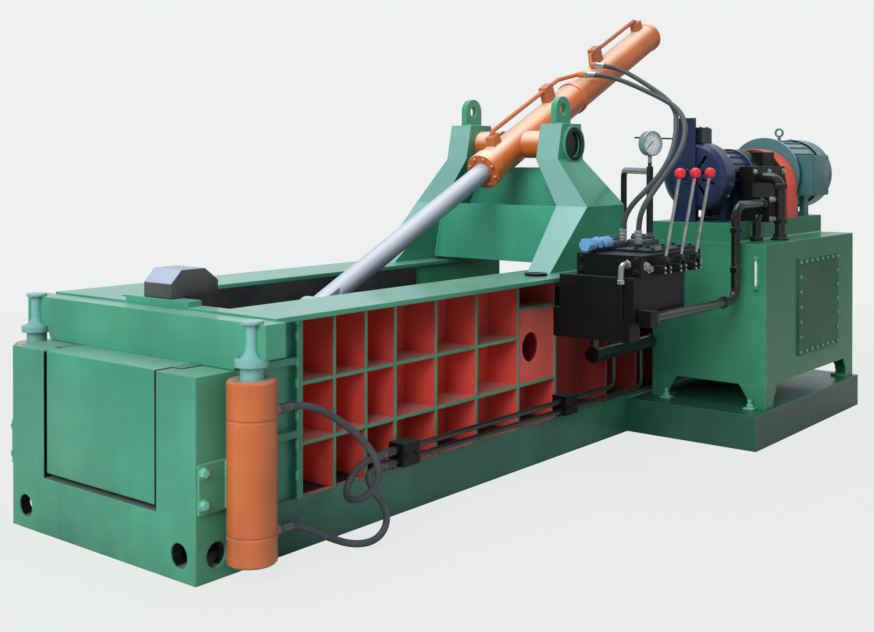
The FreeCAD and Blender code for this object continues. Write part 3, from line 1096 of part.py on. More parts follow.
def all_pieces():
    """Every node's shape by name."""
    beside_bed = BED_HALF_WIDTH - LAYOUT_HALF_WIDTH
    near_wall, near_tower, near_cylinder = side_wall(), tower(), gate_cylinder()
    far_tower = mirrored(near_tower)
    pipes = valve_pipes()
    tubes = trimmed_pipes(wall_tubes(), [pipes])
    front_motor = motor_body(FRONT_BODY_X, FRONT_BODY_RADIUS, BELL_RADIUS + 2, FRONT_BODY_X[1] - 22,
                             18, (2930, 3080))
    rear_motor = motor_body(REAR_BODY_X, REAR_BODY_RADIUS, REAR_SHIELD_RADIUS, REAR_BODY_X[0],
                            24, (3660, 3800))
    eyebolt_ring = Part.makeTorus(20, 6, V(3810, MOTOR_Y, MOTOR_Z + REAR_BODY_RADIUS + 48), V(1, 0, 0))
    eyebolt_stem = rod((3810, MOTOR_Y, MOTOR_Z + REAR_BODY_RADIUS - 5),
                       (3810, MOTOR_Y, MOTOR_Z + REAR_BODY_RADIUS + 32), 9)
    pieces = {
        "base_frame": base_frame(),
        "chamber_floor": chamber_floor(),
        "end_frame": end_frame(),
        "side_wall_near": near_wall,
        "side_wall_far": mirrored(near_wall),
        "wear_plates": wear_plates(),
        "front_beam": front_beam(),
        "tower_near": near_tower,
        "tower_far": far_tower,
        "tower_ties": tower_ties(near_tower, far_tower),
        "lifting_eyes": lifting_eyes(),
        "trunnion_bushes": trunnion_bushes(),
        "lid_hinge_pin": lid_hinge_pin(),
        "press_cylinder": press_cylinder(),
        "cylinder_mount": cylinder_mount(),
        "tank_plinth": tank_plinth(),
        "oil_tank": oil_tank(),
        "tank_legs": tank_legs(),
        "tank_cover": tank_cover(),
        "cover_bolts": cover_bolts(),
        "level_gauge": level_gauge(),
        "motor_platform": motor_platform(),
        "hose_plate": hose_plate(),
        "front_motor": front_motor,
        "rear_motor": fused([rear_motor, eyebolt_ring, eyebolt_stem]),
        "fan_covers": group([fan_cover(FRONT_COWL_X, FRONT_COWL_RADIUS, 1),
                             fan_cover(REAR_COWL_X, REAR_COWL_RADIUS, 0)]),
        "terminal_boxes": terminal_boxes(),
        "front_rotor": rotor((2830, 3267), (2830, 2860), 150, (3205, 3265), 60),
        "rear_rotor": rotor((3390, 4030), (4000, 4030), 165, (3470, 3560), 58),
        "pump_housing": pump_housing(),
        "coupling_guard": coupling_guard(),
        "pump_pipes": pump_pipes(),
        "return_pipe": return_pipe(),
        "valve_stand": valve_stand(),
        "valve_block": valve_block(),
        "relief_valve": relief_valve(),
        "relief_knob": relief_knob(),
        "pressure_gauge": pressure_gauge(),
        "gauge_needle": gauge_needle(),
        "valve_pipes": pipes,
        "wall_tubes": tubes,
        "tube_clamps": tube_clamps(tubes),
        "gate_cylinder_near": near_cylinder,
        "gate_cylinder_far": mirrored(near_cylinder),
        "gate_hose_upper": hose("gate_hose_upper", GATE_HOSE_UPPER, HOSE_RADIUS),
        "gate_hose_lower": hose("gate_hose_lower", GATE_HOSE_LOWER, HOSE_RADIUS),
        "lid_hose_a": hose("lid_hose_a", with_far_end_moved(LID_HOSE_A, beside_bed), HOSE_RADIUS),
        "lid_hose_b": hose("lid_hose_b", with_far_end_moved(LID_HOSE_B, beside_bed), HOSE_RADIUS),
        "gate_plate": gate_plate(),
        "crosshead": crosshead(),
        "gate_rods": gate_rods(),
        "lid": lid(),
        "lid_barrel": lid_barrel(),
        "lid_pipes": lid_pipes(),
        "lid_rod": lid_rod(),
        "press_head": press_head(),
        "press_rod": press_rod(),
    }
    for index in range(3):
        pieces["lever_%d" % (index + 1)] = lever(index).cut(
            rod((LEVER_X + index * LEVER_PITCH - 20, LEVER_Y, LEVER_Z),
                (LEVER_X + index * LEVER_PITCH + 20, LEVER_Y, LEVER_Z), 5 + RUNNING_GAP))
    for name in SIDE_UNIT:
        pieces[name].translate(V(0, -beside_bed, 0))
    return pieces


def main():
    """Write one file for each node."""
    os.makedirs("parts", exist_ok=True)
    for name, shape in all_pieces().items():
        shape.translate(V(-BED_LENGTH / 2, 0, 0))
        bounds = shape.BoundBox
        print("%-20s solids %2d valid %s  x %.0f..%.0f y %.0f..%.0f z %.0f..%.0f  litres %.1f" % (
            name, len(shape.Solids), shape.isValid(), bounds.XMin, bounds.XMax, bounds.YMin, bounds.YMax,
            bounds.ZMin, bounds.ZMax, shape.Volume / 1e6))
        shape.exportStep("parts/%s.step" % name)


main()
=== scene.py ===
import sys
import logging
import math
from collections.abc import Callable, Iterator
from contextlib import contextmanager
from dataclasses import dataclass, field
from enum import Enum

import bpy
from mathutils import Matrix, Vector


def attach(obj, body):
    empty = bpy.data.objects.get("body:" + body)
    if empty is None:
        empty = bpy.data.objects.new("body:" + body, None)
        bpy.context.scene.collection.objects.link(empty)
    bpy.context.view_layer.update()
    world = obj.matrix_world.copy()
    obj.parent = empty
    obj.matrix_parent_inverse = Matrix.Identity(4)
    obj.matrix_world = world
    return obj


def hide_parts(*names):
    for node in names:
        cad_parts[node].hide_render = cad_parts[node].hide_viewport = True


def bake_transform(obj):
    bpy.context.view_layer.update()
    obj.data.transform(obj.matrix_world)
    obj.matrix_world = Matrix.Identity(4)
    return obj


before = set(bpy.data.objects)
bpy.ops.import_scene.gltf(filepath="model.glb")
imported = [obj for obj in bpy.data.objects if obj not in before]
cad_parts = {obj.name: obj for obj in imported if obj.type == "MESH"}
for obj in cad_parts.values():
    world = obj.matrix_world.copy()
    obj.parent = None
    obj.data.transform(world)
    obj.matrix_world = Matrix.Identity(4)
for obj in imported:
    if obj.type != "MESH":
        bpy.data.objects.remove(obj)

LOG = logging.getLogger("baler")
GATE_FACE = -2.1          # X of the gate's face in the model; lengths below are counted from it
# The enamel's pale edges are partly worn paint and partly a painted highlight.
EDGE_RADIUS = 0.006       # metres over which the enamel rounds and rubs a sharp edge

Piece = bpy.types.Object
Point = tuple[float, float, float]
Pair = tuple[float, float]
Pairs = tuple[Pair, ...]
Colour = tuple[float, float, float, float]


def spot(x: float, y: float, z: float) -> Vector:
    """Point in the model, given from the gate's face, the middle line and the floor.

    Args:
        x, y, z: metres.

    Returns:
        The point in the model's own frame.
    """
    return Vector((x + GATE_FACE, y, z))


def paint(red: int, green: int, blue: int) -> Colour:
    """Screen colour as scene-linear values.

    Args:
        red, green, blue: 0 to 255.

    Returns:
        Linear red, green, blue and an alpha of 1.
    """
    def linear(value: int) -> float:
        """One channel."""
        share = value / 255
        return share / 12.92 if share <= 0.04045 else ((share + 0.055) / 1.055) ** 2.4

    return linear(red), linear(green), linear(blue), 1.0


def toned(colour: Colour, factor: float, lift: float = 0.0) -> Colour:
    """Darker or lighter colour, with no channel above one."""
    return *(min(1.0, value * factor + lift) for value in colour[:3]), 1.0


# ---- shader maths
def operator(operation: str, swapped: bool = False) -> Callable[["Signal", object], "Signal"]:
    """Arithmetic method of a signal.

    Args:
        operation: the math node's operation.
        swapped: whether the other value comes first.

    Returns:
        A method that adds one math node.
    """
    def method(signal: "Signal", other: object) -> "Signal":
        """Math node on the signal and the other value."""
        pair = (other, signal) if swapped else (signal, other)
        return signal.bench.node("ShaderNodeMath", {"operation": operation}, dict(enumerate(pair)))

    return method


class Signal:
    """Output of a shader node that can be used in arithmetic."""

    __add__, __radd__ = operator("ADD"), operator("ADD", True)
    __sub__, __rsub__ = operator("SUBTRACT"), operator("SUBTRACT", True)
    __mul__, __rmul__ = operator("MULTIPLY"), operator("MULTIPLY", True)
    __gt__, __lt__ = operator("GREATER_THAN"), operator("LESS_THAN")

    def __init__(self, bench: "ShaderBench", socket: bpy.types.NodeSocket) -> None:
        """Keep the socket and the bench that owns it."""
        self.bench = bench
        self.socket = socket

    def size(self) -> "Signal":
        """Value without its sign."""
        return operator("ABSOLUTE")(self, 0.0)

    def between(self, low: float, high: float) -> "Signal":
        """Smooth step from 0 at low to 1 at high; low may be the greater."""
        turned = low > high
        ends = (high, low) if turned else (low, high)
        step = self.bench.node("ShaderNodeMapRange",
                               {"interpolation_type": "SMOOTHSTEP", "clamp": True},
                               {"Value": self, "From Min": ends[0], "From Max": ends[1]})
        return 1.0 - step if turned else step


class ShaderBench:
    """Builds the nodes of one material or world."""

    def __init__(self, name: str, world: bool = False) -> None:
        """Start an empty material, or an empty world."""
        self.made = (bpy.data.worlds if world else bpy.data.materials).new(name)
        self.made.use_nodes = True
        self.tree = self.made.node_tree
        self.tree.nodes.clear()
        self._place: Signal | None = None

    def node(self, kind: str, settings: dict | None = None, inputs: dict | None = None,
             output: int | str = 0) -> Signal:
        """Add a node.

        Args:
            kind: the node's type name.
            settings: properties, set before its sockets.
            inputs: socket name or number to a value or a signal.
            output: which output is handed on.

        Returns:
            The output as a signal.
        """
        made = self.tree.nodes.new(kind)
        for key, value in (settings or {}).items():
            setattr(made, key, value)
        for key, value in (inputs or {}).items():
            if isinstance(value, Signal):
                self.tree.links.new(value.socket, made.inputs[key])
            else:
                made.inputs[key].default_value = value
        return Signal(self, made.outputs[output])

    def place(self) -> Signal:
        """Object coordinates, which are metres in the model's frame."""
        self._place = self._place or self.node("ShaderNodeTexCoord", output="Object")
        return self._place

    def axis(self, letter: str) -> Signal:
        """One of the coordinates."""
        return self.node("ShaderNodeSeparateXYZ", None, {0: self.place()}, letter)

    def stretched(self, scale: Point) -> Signal:
        """Object coordinates with each axis scaled."""
        return self.node("ShaderNodeVectorMath", {"operation": "MULTIPLY"},
                         {0: self.place(), 1: scale})

    def dot(self, first: Signal, second: Signal | Point) -> Signal:
        """Dot product of two directions."""
        return self.node("ShaderNodeVectorMath", {"operation": "DOT_PRODUCT"},
                         {0: first, 1: second}, "Value")

    def noise(self, scale: float, detail: float = 3.0, rough: float = 0.55,
              where: Signal | None = None) -> Signal:
        """Cloudy pattern from 0 to 1."""
        return self.node("ShaderNodeTexNoise", {"noise_dimensions": "3D"},
                         {"Vector": where or self.place(), "Scale": scale, "Detail": detail,
                          "Roughness": rough}, "Fac")

    def mixed(self, share: object, first: object, second: object) -> Signal:
        """Colour between two others."""
        return self.node("ShaderNodeMix", {"data_type": "RGBA", "clamp_factor": True},
                         {0: share, 6: first, 7: second}, 2)

    def blotched(self, scale: float, detail: float, turn: Pair, first: object,
                 second: object) -> Signal:
        """Two colours in clouds, with the noise at which one turns into the other."""
        return self.mixed(self.noise(scale, detail).between(*turn), first, second)

    def bump(self, height: Signal, strength: float, distance: float,
             eased: Signal | None = None) -> Signal:
        """Relief from a height pattern, over an eased normal where one is given."""
        sockets = {"Height": height, "Strength": strength, "Distance": distance}
        if eased:
            sockets["Normal"] = eased
        return self.node("ShaderNodeBump", None, sockets, "Normal")

    def flat(self) -> Signal:
        """Direction of the face itself."""
        return self.node("ShaderNodeNewGeometry", output="True Normal")

    def eased_edge(self, radius: float) -> Signal:
        """Normal that turns smoothly over a sharp edge."""
        return self.node("ShaderNodeBevel", {"samples": 4}, {"Radius": radius}, "Normal")

    def worn_and_lit_edges(self, eased: Signal) -> Signal:
        """One along sharp edges and nought on flats."""
        return (1.0 - self.dot(eased, self.flat())).between(0.03, 0.22)

    def close(self, **sockets: object) -> bpy.types.Material:
        """Join a Principled surface to the output and hand over the material."""
        return self.output(self.node("ShaderNodeBsdfPrincipled", None,
                                     {key.replace("_", " "): value
                                      for key, value in sockets.items()}))

    def output(self, surface: Signal, kind: str = "Material") -> bpy.types.ID:
        """Join a surface to the output and hand over the material or world."""
        out = self.tree.nodes.new(f"ShaderNodeOutput{kind}")
        self.tree.links.new(surface.socket, out.inputs["Surface"])
        return self.made


# ---- finishes
@dataclass(frozen=True)
class Enamel:
    """Brushed or sprayed machine enamel with faint dirt, chips and a wavy coat.

    The painted lighting is colour laid on the faces that look one way: on most coats a pale
    painted highlight where the light falls, on a few a darker painted shade. Its turn holds the
    cosine at which it starts and the one from which it is whole.
    """

    name: str
    colour: Colour
    # colour of dirt runs, and of the darkening near the floor, which is partly painted shade
    grime_and_shade: Colour = paint(38, 44, 38)
    gloss: float = 0.32
    chips: float = 0.35
    soil: float = 0.35
    coat: float = 0.3
    shine: float = 0.5
    # share of the pale edge colour: partly wear, partly a painted highlight
    edge: float = 0.55
    # darker towards the floor: partly dirt splashes, partly painted shade of the low faces
    low_dirt_and_shade: float = 0.3
    # painted lighting: by default a pale painted highlight on faces that look up
    painted_lighting: float = 0.45
    painted_lighting_colour: Colour = paint(150, 182, 174)
    painted_lighting_way: Point = (0.0, 0.0, 1.0)
    painted_lighting_turn: Pair = (0.86, 0.98)

    def colours(self, bench: ShaderBench) -> Signal:
        """Base colour before dirt and chips."""
        return bench.blotched(1.6, 3.0, (0.36, 0.66), toned(self.colour, 0.82),
                              toned(self.colour, 1.16, 0.006))

    def dirt_and_painted_lighting(self, bench: ShaderBench, base: Signal) -> Signal:
        """Colour with dirt runs, dirt and painted shade near the floor, and painted lighting."""
        runs = bench.noise(1.0, 5.0, 0.6, bench.stretched((16.0, 16.0, 1.7)))
        base = bench.mixed(runs.between(0.52, 0.80) * (0.45 * self.soil), base, self.grime_and_shade)
        # darker towards the floor: partly dirt splashes, partly painted shade
        splash = 0.5 + bench.noise(9.0, 5.0).between(0.35, 0.72) * 0.5
        low = bench.axis("Z").between(0.30, 0.0) * splash
        base = bench.mixed(low * self.low_dirt_and_shade, base, self.grime_and_shade)
        # painted lighting: colour set by the way a face looks, standing in for light and shade
        facing = bench.dot(bench.flat(), self.painted_lighting_way).between(*self.painted_lighting_turn)
        painted_lighting = facing * (0.75 + bench.noise(3.0, 4.0) * 0.4) * self.painted_lighting
        return bench.mixed(painted_lighting, base, self.painted_lighting_colour)

    def make(self) -> bpy.types.Material:
        """Build the material."""
        bench = ShaderBench(self.name)
        base = self.dirt_and_painted_lighting(bench, self.colours(bench))
        eased = bench.eased_edge(EDGE_RADIUS)
        # pale edges: partly worn paint, partly a painted highlight where the light catches them
        worn_and_lit_edges = bench.worn_and_lit_edges(eased) * bench.noise(17.0, 4.0, 0.7).between(0.30, 0.62)
        base = bench.mixed(worn_and_lit_edges * self.edge, base, toned(self.colour, 1.5, 0.10))
        patch = bench.noise(4.0, 2.0).between(0.52, 0.70)
        chip = bench.noise(70.0, 4.0, 0.7).between(0.69, 0.73) * patch * self.chips
        base = bench.mixed(chip, base, paint(92, 78, 66))
        rough = self.gloss + bench.noise(11.0, 4.0) * 0.16 + chip * 0.3
        skin = bench.noise(190.0, 2.0) * 0.35 + bench.noise(7.0, 2.0) * 3.0 - chip * 1.2
        return bench.close(Base_Color=base, Roughness=rough, Metallic=0.0,
                           Coat_Weight=self.coat, Coat_Roughness=0.12,
                           Specular_IOR_Level=self.shine,
                           Normal=bench.bump(skin, 0.35, 0.0011, eased))


@dataclass(frozen=True)
class PocketEnamel(Enamel):
    """Side wall: green outside, red inside its pockets."""

    pocket: Colour = paint(230, 84, 74)
    rear_red: Colour = paint(148, 54, 50)
    outer_face: float = 0.4965
    inner_face: float = 0.3405
    first_bar: float = 0.440
    red_ribs_from: float = 1.990
    panel_from: float = 1.985
    under_rail: float = 0.7795
    band_top: float = 0.1725

    def colours(self, bench: ShaderBench) -> Signal:
        """Red where the surface lies inside a pocket, and on the rear ribs all over."""
        green = super().colours(bench)
        x, y, z = bench.axis("X"), bench.axis("Y").size(), bench.axis("Z")
        red = bench.blotched(2.3, 4.0, (0.30, 0.62), toned(self.pocket, 0.78), self.pocket)
        red = bench.mixed(x > self.panel_from + GATE_FACE, red, self.rear_red)
        # painted shade: random dark blotches over the pockets' red, for the shade deep in them
        corners = bench.noise(6.0, 4.0).between(0.60, 0.82) * 0.4
        red = bench.mixed(corners, red, paint(70, 30, 30))
        flush = 1.0 - (y < self.outer_face)
        ahead = 1.0 - (x > self.red_ribs_from + GATE_FACE)
        inside = ((1.0 - flush * ahead) * (x > self.first_bar + GATE_FACE)
                  * (z < self.under_rail) * (z > self.band_top) * (y > self.inner_face))
        return bench.mixed(inside, green, red)


@dataclass(frozen=True)
class SplitEnamel(Enamel):
    """Enamel of one colour on the front machine and another on the rear one."""

    beyond: Colour = paint(66, 112, 116)
    split: float = 3.40

    def colours(self, bench: ShaderBench) -> Signal:
        """Second colour past the split."""
        past = bench.axis("X") > self.split + GATE_FACE
        rear = bench.blotched(2.0, 3.0, (0.36, 0.66), toned(self.beyond, 0.84), self.beyond)
        return bench.mixed(past, super().colours(bench), rear)


@dataclass(frozen=True)
class HubEnamel(Enamel):
    """Enamel round a trunnion, black in the middle as painted shade of the deep recess there."""

    middle: float = 0.079
    outside: float = 0.325
    axis_x: float = 2.400
    axis_z: float = 1.366

    def colours(self, bench: ShaderBench) -> Signal:
        """Black within a circle about the trunnion's axis."""
        across = bench.axis("X") - (self.axis_x + GATE_FACE)
        up = bench.axis("Z") - self.axis_z
        near = (across * across + up * up) < self.middle ** 2
        # painted shade: black where the trunnion's deep recess is
        recess_shade = near * (bench.axis("Y").size() > self.outside)
        return bench.mixed(recess_shade, super().colours(bench), paint(9, 10, 11))


@dataclass(frozen=True)
class GreaseAndShadeEnamel(Enamel):
    """Enamel with black on its sliding faces: partly grease, partly painted shade of the gate's
    groove.
    """

    boxes: tuple[tuple[Point, Point], ...] = ()
    grease_and_shade: Colour = paint(13, 18, 18)

    def colours(self, bench: ShaderBench) -> Signal:
        """Black inside any of the boxes, which hold on both sides of the middle plane."""
        base = super().colours(bench)
        along, out, up = bench.axis("X") - GATE_FACE, bench.axis("Y").size(), bench.axis("Z")
        for low, high in self.boxes:
            inside = (along > low[0]) * (along < high[0])
            for value, least, most in ((out, low[1], high[1]), (up, low[2], high[2])):
                inside = inside * (value > least) * (value < most)
            base = bench.mixed(inside, base, self.grease_and_shade)
        return base


@dataclass(frozen=True)
class PlainSteel:
    """Bare metal: ground, rolled or plated."""

    name: str
    colour: Colour
    rough: float = 0.28
    tarnish_share: float = 0.3

    def make(self) -> bpy.types.Material:
        """Build the material."""
        bench = ShaderBench(self.name)
        stain = bench.noise(14.0, 5.0, 0.65).between(0.42, 0.72)
        line = bench.noise(6.0, 4.0, 0.6, bench.stretched((40.0, 40.0, 40.0)))
        base = bench.mixed(stain * self.tarnish_share, self.colour, paint(96, 92, 88))
        rough = self.rough + stain * 0.14 + line * 0.10
        return bench.close(Base_Color=base, Metallic=0.92, Roughness=rough,
                           Normal=bench.bump(line, 0.16, 0.0004))


@dataclass(frozen=True)
class ScrapWorn:
    """Dark plate scoured by scrap: black scale, rust and bright scratches."""

    name: str
    colour: Colour = paint(46, 47, 52)

    def make(self) -> bpy.types.Material:
        """Build the material."""
        bench = ShaderBench(self.name)
        scale = bench.noise(5.0, 6.0, 0.65)
        base = bench.mixed(scale.between(0.35, 0.7), self.colour, paint(70, 68, 70))
        rust = bench.noise(11.0, 6.0, 0.7).between(0.58, 0.74)
        base = bench.mixed(rust * 0.35, base, paint(88, 58, 44))
        along = bench.stretched((3.0, 60.0, 60.0))
        score = bench.noise(3.0, 3.0, 0.5, along).between(0.66, 0.72)
        base = bench.mixed(score * 0.45, base, paint(132, 128, 124))
        rough = 0.62 + scale * 0.2 - score * 0.25
        height = scale * 0.6 - score * 0.4 + bench.noise(60.0, 3.0) * 0.4
        return bench.close(Base_Color=base, Metallic=0.35, Roughness=rough,
                           Normal=bench.bump(height, 0.5, 0.0016))


@dataclass(frozen=True)
class HoseRubber:
    """Smooth hose cover, a little dusty."""

    name: str
    colour: Colour = paint(56, 62, 64)

    def make(self) -> bpy.types.Material:
        """Build the material."""
        bench = ShaderBench(self.name)
        dust = bench.noise(9.0, 5.0, 0.6).between(0.42, 0.75)
        base = bench.mixed(dust * 0.5, self.colour, paint(86, 90, 92))
        return bench.close(Base_Color=base, Roughness=0.42 + dust * 0.22, Metallic=0.0,
                           Normal=bench.bump(bench.noise(160.0, 2.0), 0.25, 0.0005))


@dataclass(frozen=True)
class Moulded:
    """Moulded plastic dial, knob or ink."""

    name: str
    colour: Colour
    rough: float

    def make(self) -> bpy.types.Material:
        """Build the material."""
        bench = ShaderBench(self.name)
        tint = bench.noise(30.0, 3.0)
        base = bench.mixed(tint.between(0.4, 0.7), self.colour, toned(self.colour, 0.8))
        return bench.close(Base_Color=base, Roughness=self.rough + tint * 0.1, Metallic=0.0,
                           Coat_Weight=0.4, Coat_Roughness=0.08,
                           Normal=bench.bump(bench.noise(220.0), 0.08, 0.0004))


@dataclass(frozen=True)
class LeverFinish:
    """Dark hub, bare rod and red ball, one above the other."""

    name: str
    hub_to: float
    ball_from: float

    def make(self) -> bpy.types.Material:
        """Build the material."""
        bench = ShaderBench(self.name)
        ball = bench.axis("Z") > self.ball_from
        stain = bench.noise(26.0, 5.0).between(0.4, 0.7)
        rod = bench.mixed(stain * 0.4, paint(196, 196, 200), paint(120, 116, 112))
        rod = bench.mixed(bench.axis("Z") < self.hub_to, rod, paint(54, 54, 58))
        red = bench.mixed(stain * 0.3, paint(214, 42, 52), paint(170, 28, 38))
        return bench.close(Base_Color=bench.mixed(ball, rod, red), Metallic=(1.0 - ball) * 0.9,
                           Roughness=0.34 - ball * 0.14 + stain * 0.1,
                           Normal=bench.bump(stain, 0.1, 0.0004))


@dataclass(frozen=True)
class Glassy:
    """Clear lens."""

    name: str

    def make(self) -> bpy.types.Material:
        """Build the material."""
        bench = ShaderBench(self.name)
        smear = bench.noise(40.0, 4.0).between(0.4, 0.8)
        return bench.close(Base_Color=paint(236, 242, 242), Roughness=0.05 + smear * 0.1,
                           Metallic=0.0, Alpha=0.14 + smear * 0.08)


GREEN_PAINT = paint(64, 150, 120)
NAVY_PAINT = paint(28, 40, 78)
# painted shade: a darker tint on faces that look to the near side, away from the key light
SHADED_NEAR_FACES = dict(painted_lighting_way=(0.0, -1.0, 0.0), painted_lighting_turn=(0.80, 0.98))


class Coat(Enum):
    """Every finish on the machine."""

    GREEN = Enamel("green_enamel", GREEN_PAINT)
    WALL = PocketEnamel("wall_enamel", paint(60, 144, 114))
    BASE = PocketEnamel("band_enamel", paint(44, 112, 92), outer_face=0.494, band_top=0.1715,
                        red_ribs_from=9.0, low_dirt_and_shade=0.35)
    # painted highlight: pale teal on faces that look up and towards the gate, where the key light
    # falls
    TOWER = Enamel("tower_enamel", GREEN_PAINT, painted_lighting=0.72, painted_lighting_colour=paint(136, 180, 179),
                   painted_lighting_way=(-0.80, 0.0, 0.60), painted_lighting_turn=(0.50, 0.86))
    # gate and end frame: black boxes, partly grease on the guides, partly painted shade in the
    # groove round the gate
    SLIDE = GreaseAndShadeEnamel("gate_enamel", GREEN_PAINT,
                          boxes=(((-1.0, 0.2945, -1.0), (9.0, 9.0, 9.0)),
                                 ((-1.0, -1.0, -1.0), (9.0, 9.0, 0.2130))))
    GUIDE = GreaseAndShadeEnamel("end_frame_enamel", GREEN_PAINT,
                          boxes=(((0.003, -1.0, 0.190), (0.245, 0.346, 0.628)),
                                 ((0.006, -1.0, 0.005), (0.234, 0.488, 0.191))))
    # painted reflection: pale blue-grey on faces that look up and towards the gate
    NOSE = Enamel("nose_plate", paint(74, 72, 74), chips=0.1, coat=0.1, edge=0.3, painted_lighting=0.9,
                  painted_lighting_colour=paint(172, 182, 204), painted_lighting_way=(-0.55, 0.0, 0.83),
                  painted_lighting_turn=(0.55, 0.95))
    # lighter copy of the green: a painted lift against the shadow the lid cylinder casts on the
    # ties
    TIES = Enamel("tie_enamel", paint(66, 164, 134))
    # painted shade: darker green on the tank's near faces
    TANK = Enamel("tank_enamel", paint(54, 134, 104), edge=0.95, painted_lighting=0.7,
                  painted_lighting_colour=paint(44, 98, 68), **SHADED_NEAR_FACES)
    RODS = Enamel("gate_rod_enamel", paint(112, 168, 164), soil=0.1, chips=0.05)
    HUB = HubEnamel("bush_enamel", GREEN_PAINT)
    ORANGE = Enamel("orange_enamel", paint(190, 98, 48), grime_and_shade=paint(120, 66, 40), soil=0.3,
                    chips=0.2, low_dirt_and_shade=0.2, coat=0.4)
    # painted reflection: cream on the barrel's upper side, standing in for the bright sky
    BARREL = HubEnamel("barrel_enamel", paint(196, 98, 38), grime_and_shade=paint(120, 66, 40), soil=0.3,
                       chips=0.2, coat=0.5, middle=0.066, outside=0.300, painted_lighting=0.8,
                       painted_lighting_colour=paint(244, 220, 194), painted_lighting_way=(-0.57, -0.10, 0.82),
                       painted_lighting_turn=(0.55, 0.99))
    GUARD = Enamel("guard_enamel", paint(226, 76, 46), soil=0.15, chips=0.2)
    NAVY = Enamel("navy_enamel", NAVY_PAINT, soil=0.15, chips=0.2, edge=0.25)
    # painted shade: darker green on the plinth's near faces
    DEEP = Enamel("deep_green_enamel", paint(32, 96, 76), edge=0.95, painted_lighting=0.75,
                  painted_lighting_colour=paint(20, 52, 40), **SHADED_NEAR_FACES)
    COVER = Enamel("cover_enamel", paint(34, 84, 60), coat=0.1, shine=0.3, edge=0.7)
    # painted highlight: pale on the top of the motor
    TEAL = Enamel("teal_enamel", paint(66, 114, 118), soil=0.2, chips=0.2, painted_lighting=0.6,
                  painted_lighting_colour=paint(148, 186, 192), painted_lighting_way=(-0.30, 0.0, 0.95),
                  painted_lighting_turn=(0.10, 0.95))
    COWLS = SplitEnamel("cowl_enamel", NAVY_PAINT, soil=0.15, chips=0.2, edge=0.25)
    BOXES = SplitEnamel("box_enamel", paint(16, 17, 19), soil=0.15, chips=0.2, edge=0.2,
                        beyond=paint(66, 110, 114))
    BLUE = Enamel("pale_blue_enamel", paint(104, 160, 208), soil=0.1, chips=0.2)
    BLACK = Enamel("black_enamel", paint(10, 11, 14), grime_and_shade=paint(42, 41, 41), soil=0.25,
                   chips=0.15, gloss=0.36, coat=0.06, shine=0.25, edge=0.2, painted_lighting=0.1)
    PIPES = Enamel("pipe_enamel", paint(9, 10, 12), grime_and_shade=paint(36, 35, 35), soil=0.2,
                   chips=0.15, gloss=0.22, coat=0.6, edge=0.25, painted_lighting=0.12)
    CASTING = Enamel("casting_enamel", paint(46, 58, 70), soil=0.2, chips=0.15, edge=0.5)
    CASE = Enamel("gauge_case_enamel", paint(112, 132, 144), soil=0.1, chips=0.1)
    # paler than the green, as a painted highlight on weld beads, bolt heads and studs
    WELD = Enamel("painted_weld", paint(104, 190, 164), soil=0.1, chips=0.05, gloss=0.24,
                  edge=0.0)
    SCOURED = ScrapWorn("scoured_plate")
    CHROME = PlainSteel("plated_rod", paint(196, 202, 212), rough=0.16, tarnish_share=0.15)
    # painted highlight: pale on the rod's upper side
    SATIN = Enamel("satin_plating", paint(128, 134, 148), grime_and_shade=paint(96, 100, 112), soil=0.2,
                   chips=0.0, coat=0.5, painted_lighting=0.7, painted_lighting_colour=paint(196, 202, 214),
                   painted_lighting_way=(-0.57, -0.20, 0.80), painted_lighting_turn=(0.10, 0.90))
    CRIMP = PlainSteel("dark_crimp", paint(112, 118, 120), rough=0.4)
    STEEL = PlainSteel("plain_steel", paint(172, 174, 176), rough=0.32)
    ZINC = PlainSteel("zinc_fitting", paint(206, 208, 206), rough=0.34)
    GREASE = ScrapWorn("greasy_pin", paint(22, 22, 24))
    RUBBER = HoseRubber("hose_cover")
    DIAL = Moulded("pale_dial", paint(222, 228, 228), rough=0.4)
    INK = Moulded("dial_ink", paint(24, 24, 28), rough=0.5)
    LEVER = LeverFinish("lever_rod_and_ball", hub_to=0.902, ball_from=1.214)
    LENS = Glassy("clear_lens")

    def material(self) -> bpy.types.Material:
        """The finish as a material, built once."""
        return bpy.data.materials.get(self.value.name) or self.value.make()

    def cover(self, piece: Piece) -> None:
        """Put the finish in a piece's only slot."""
        piece.data.materials.clear()
        piece.data.materials.append(self.material())


# ---- modelling
UP = Vector((0, 0, 1))
TO_GATE = Vector((-1, 0, 0))
TO_REAR = Vector((1, 0, 0))
TO_NEAR = Vector((0, -1, 0))

Place = tuple[Vector, Vector]         # a point and a direction there
Run = tuple[Vector, Vector]           # a start and an end
Profile = Pairs                       # radius and height of each step along an axis


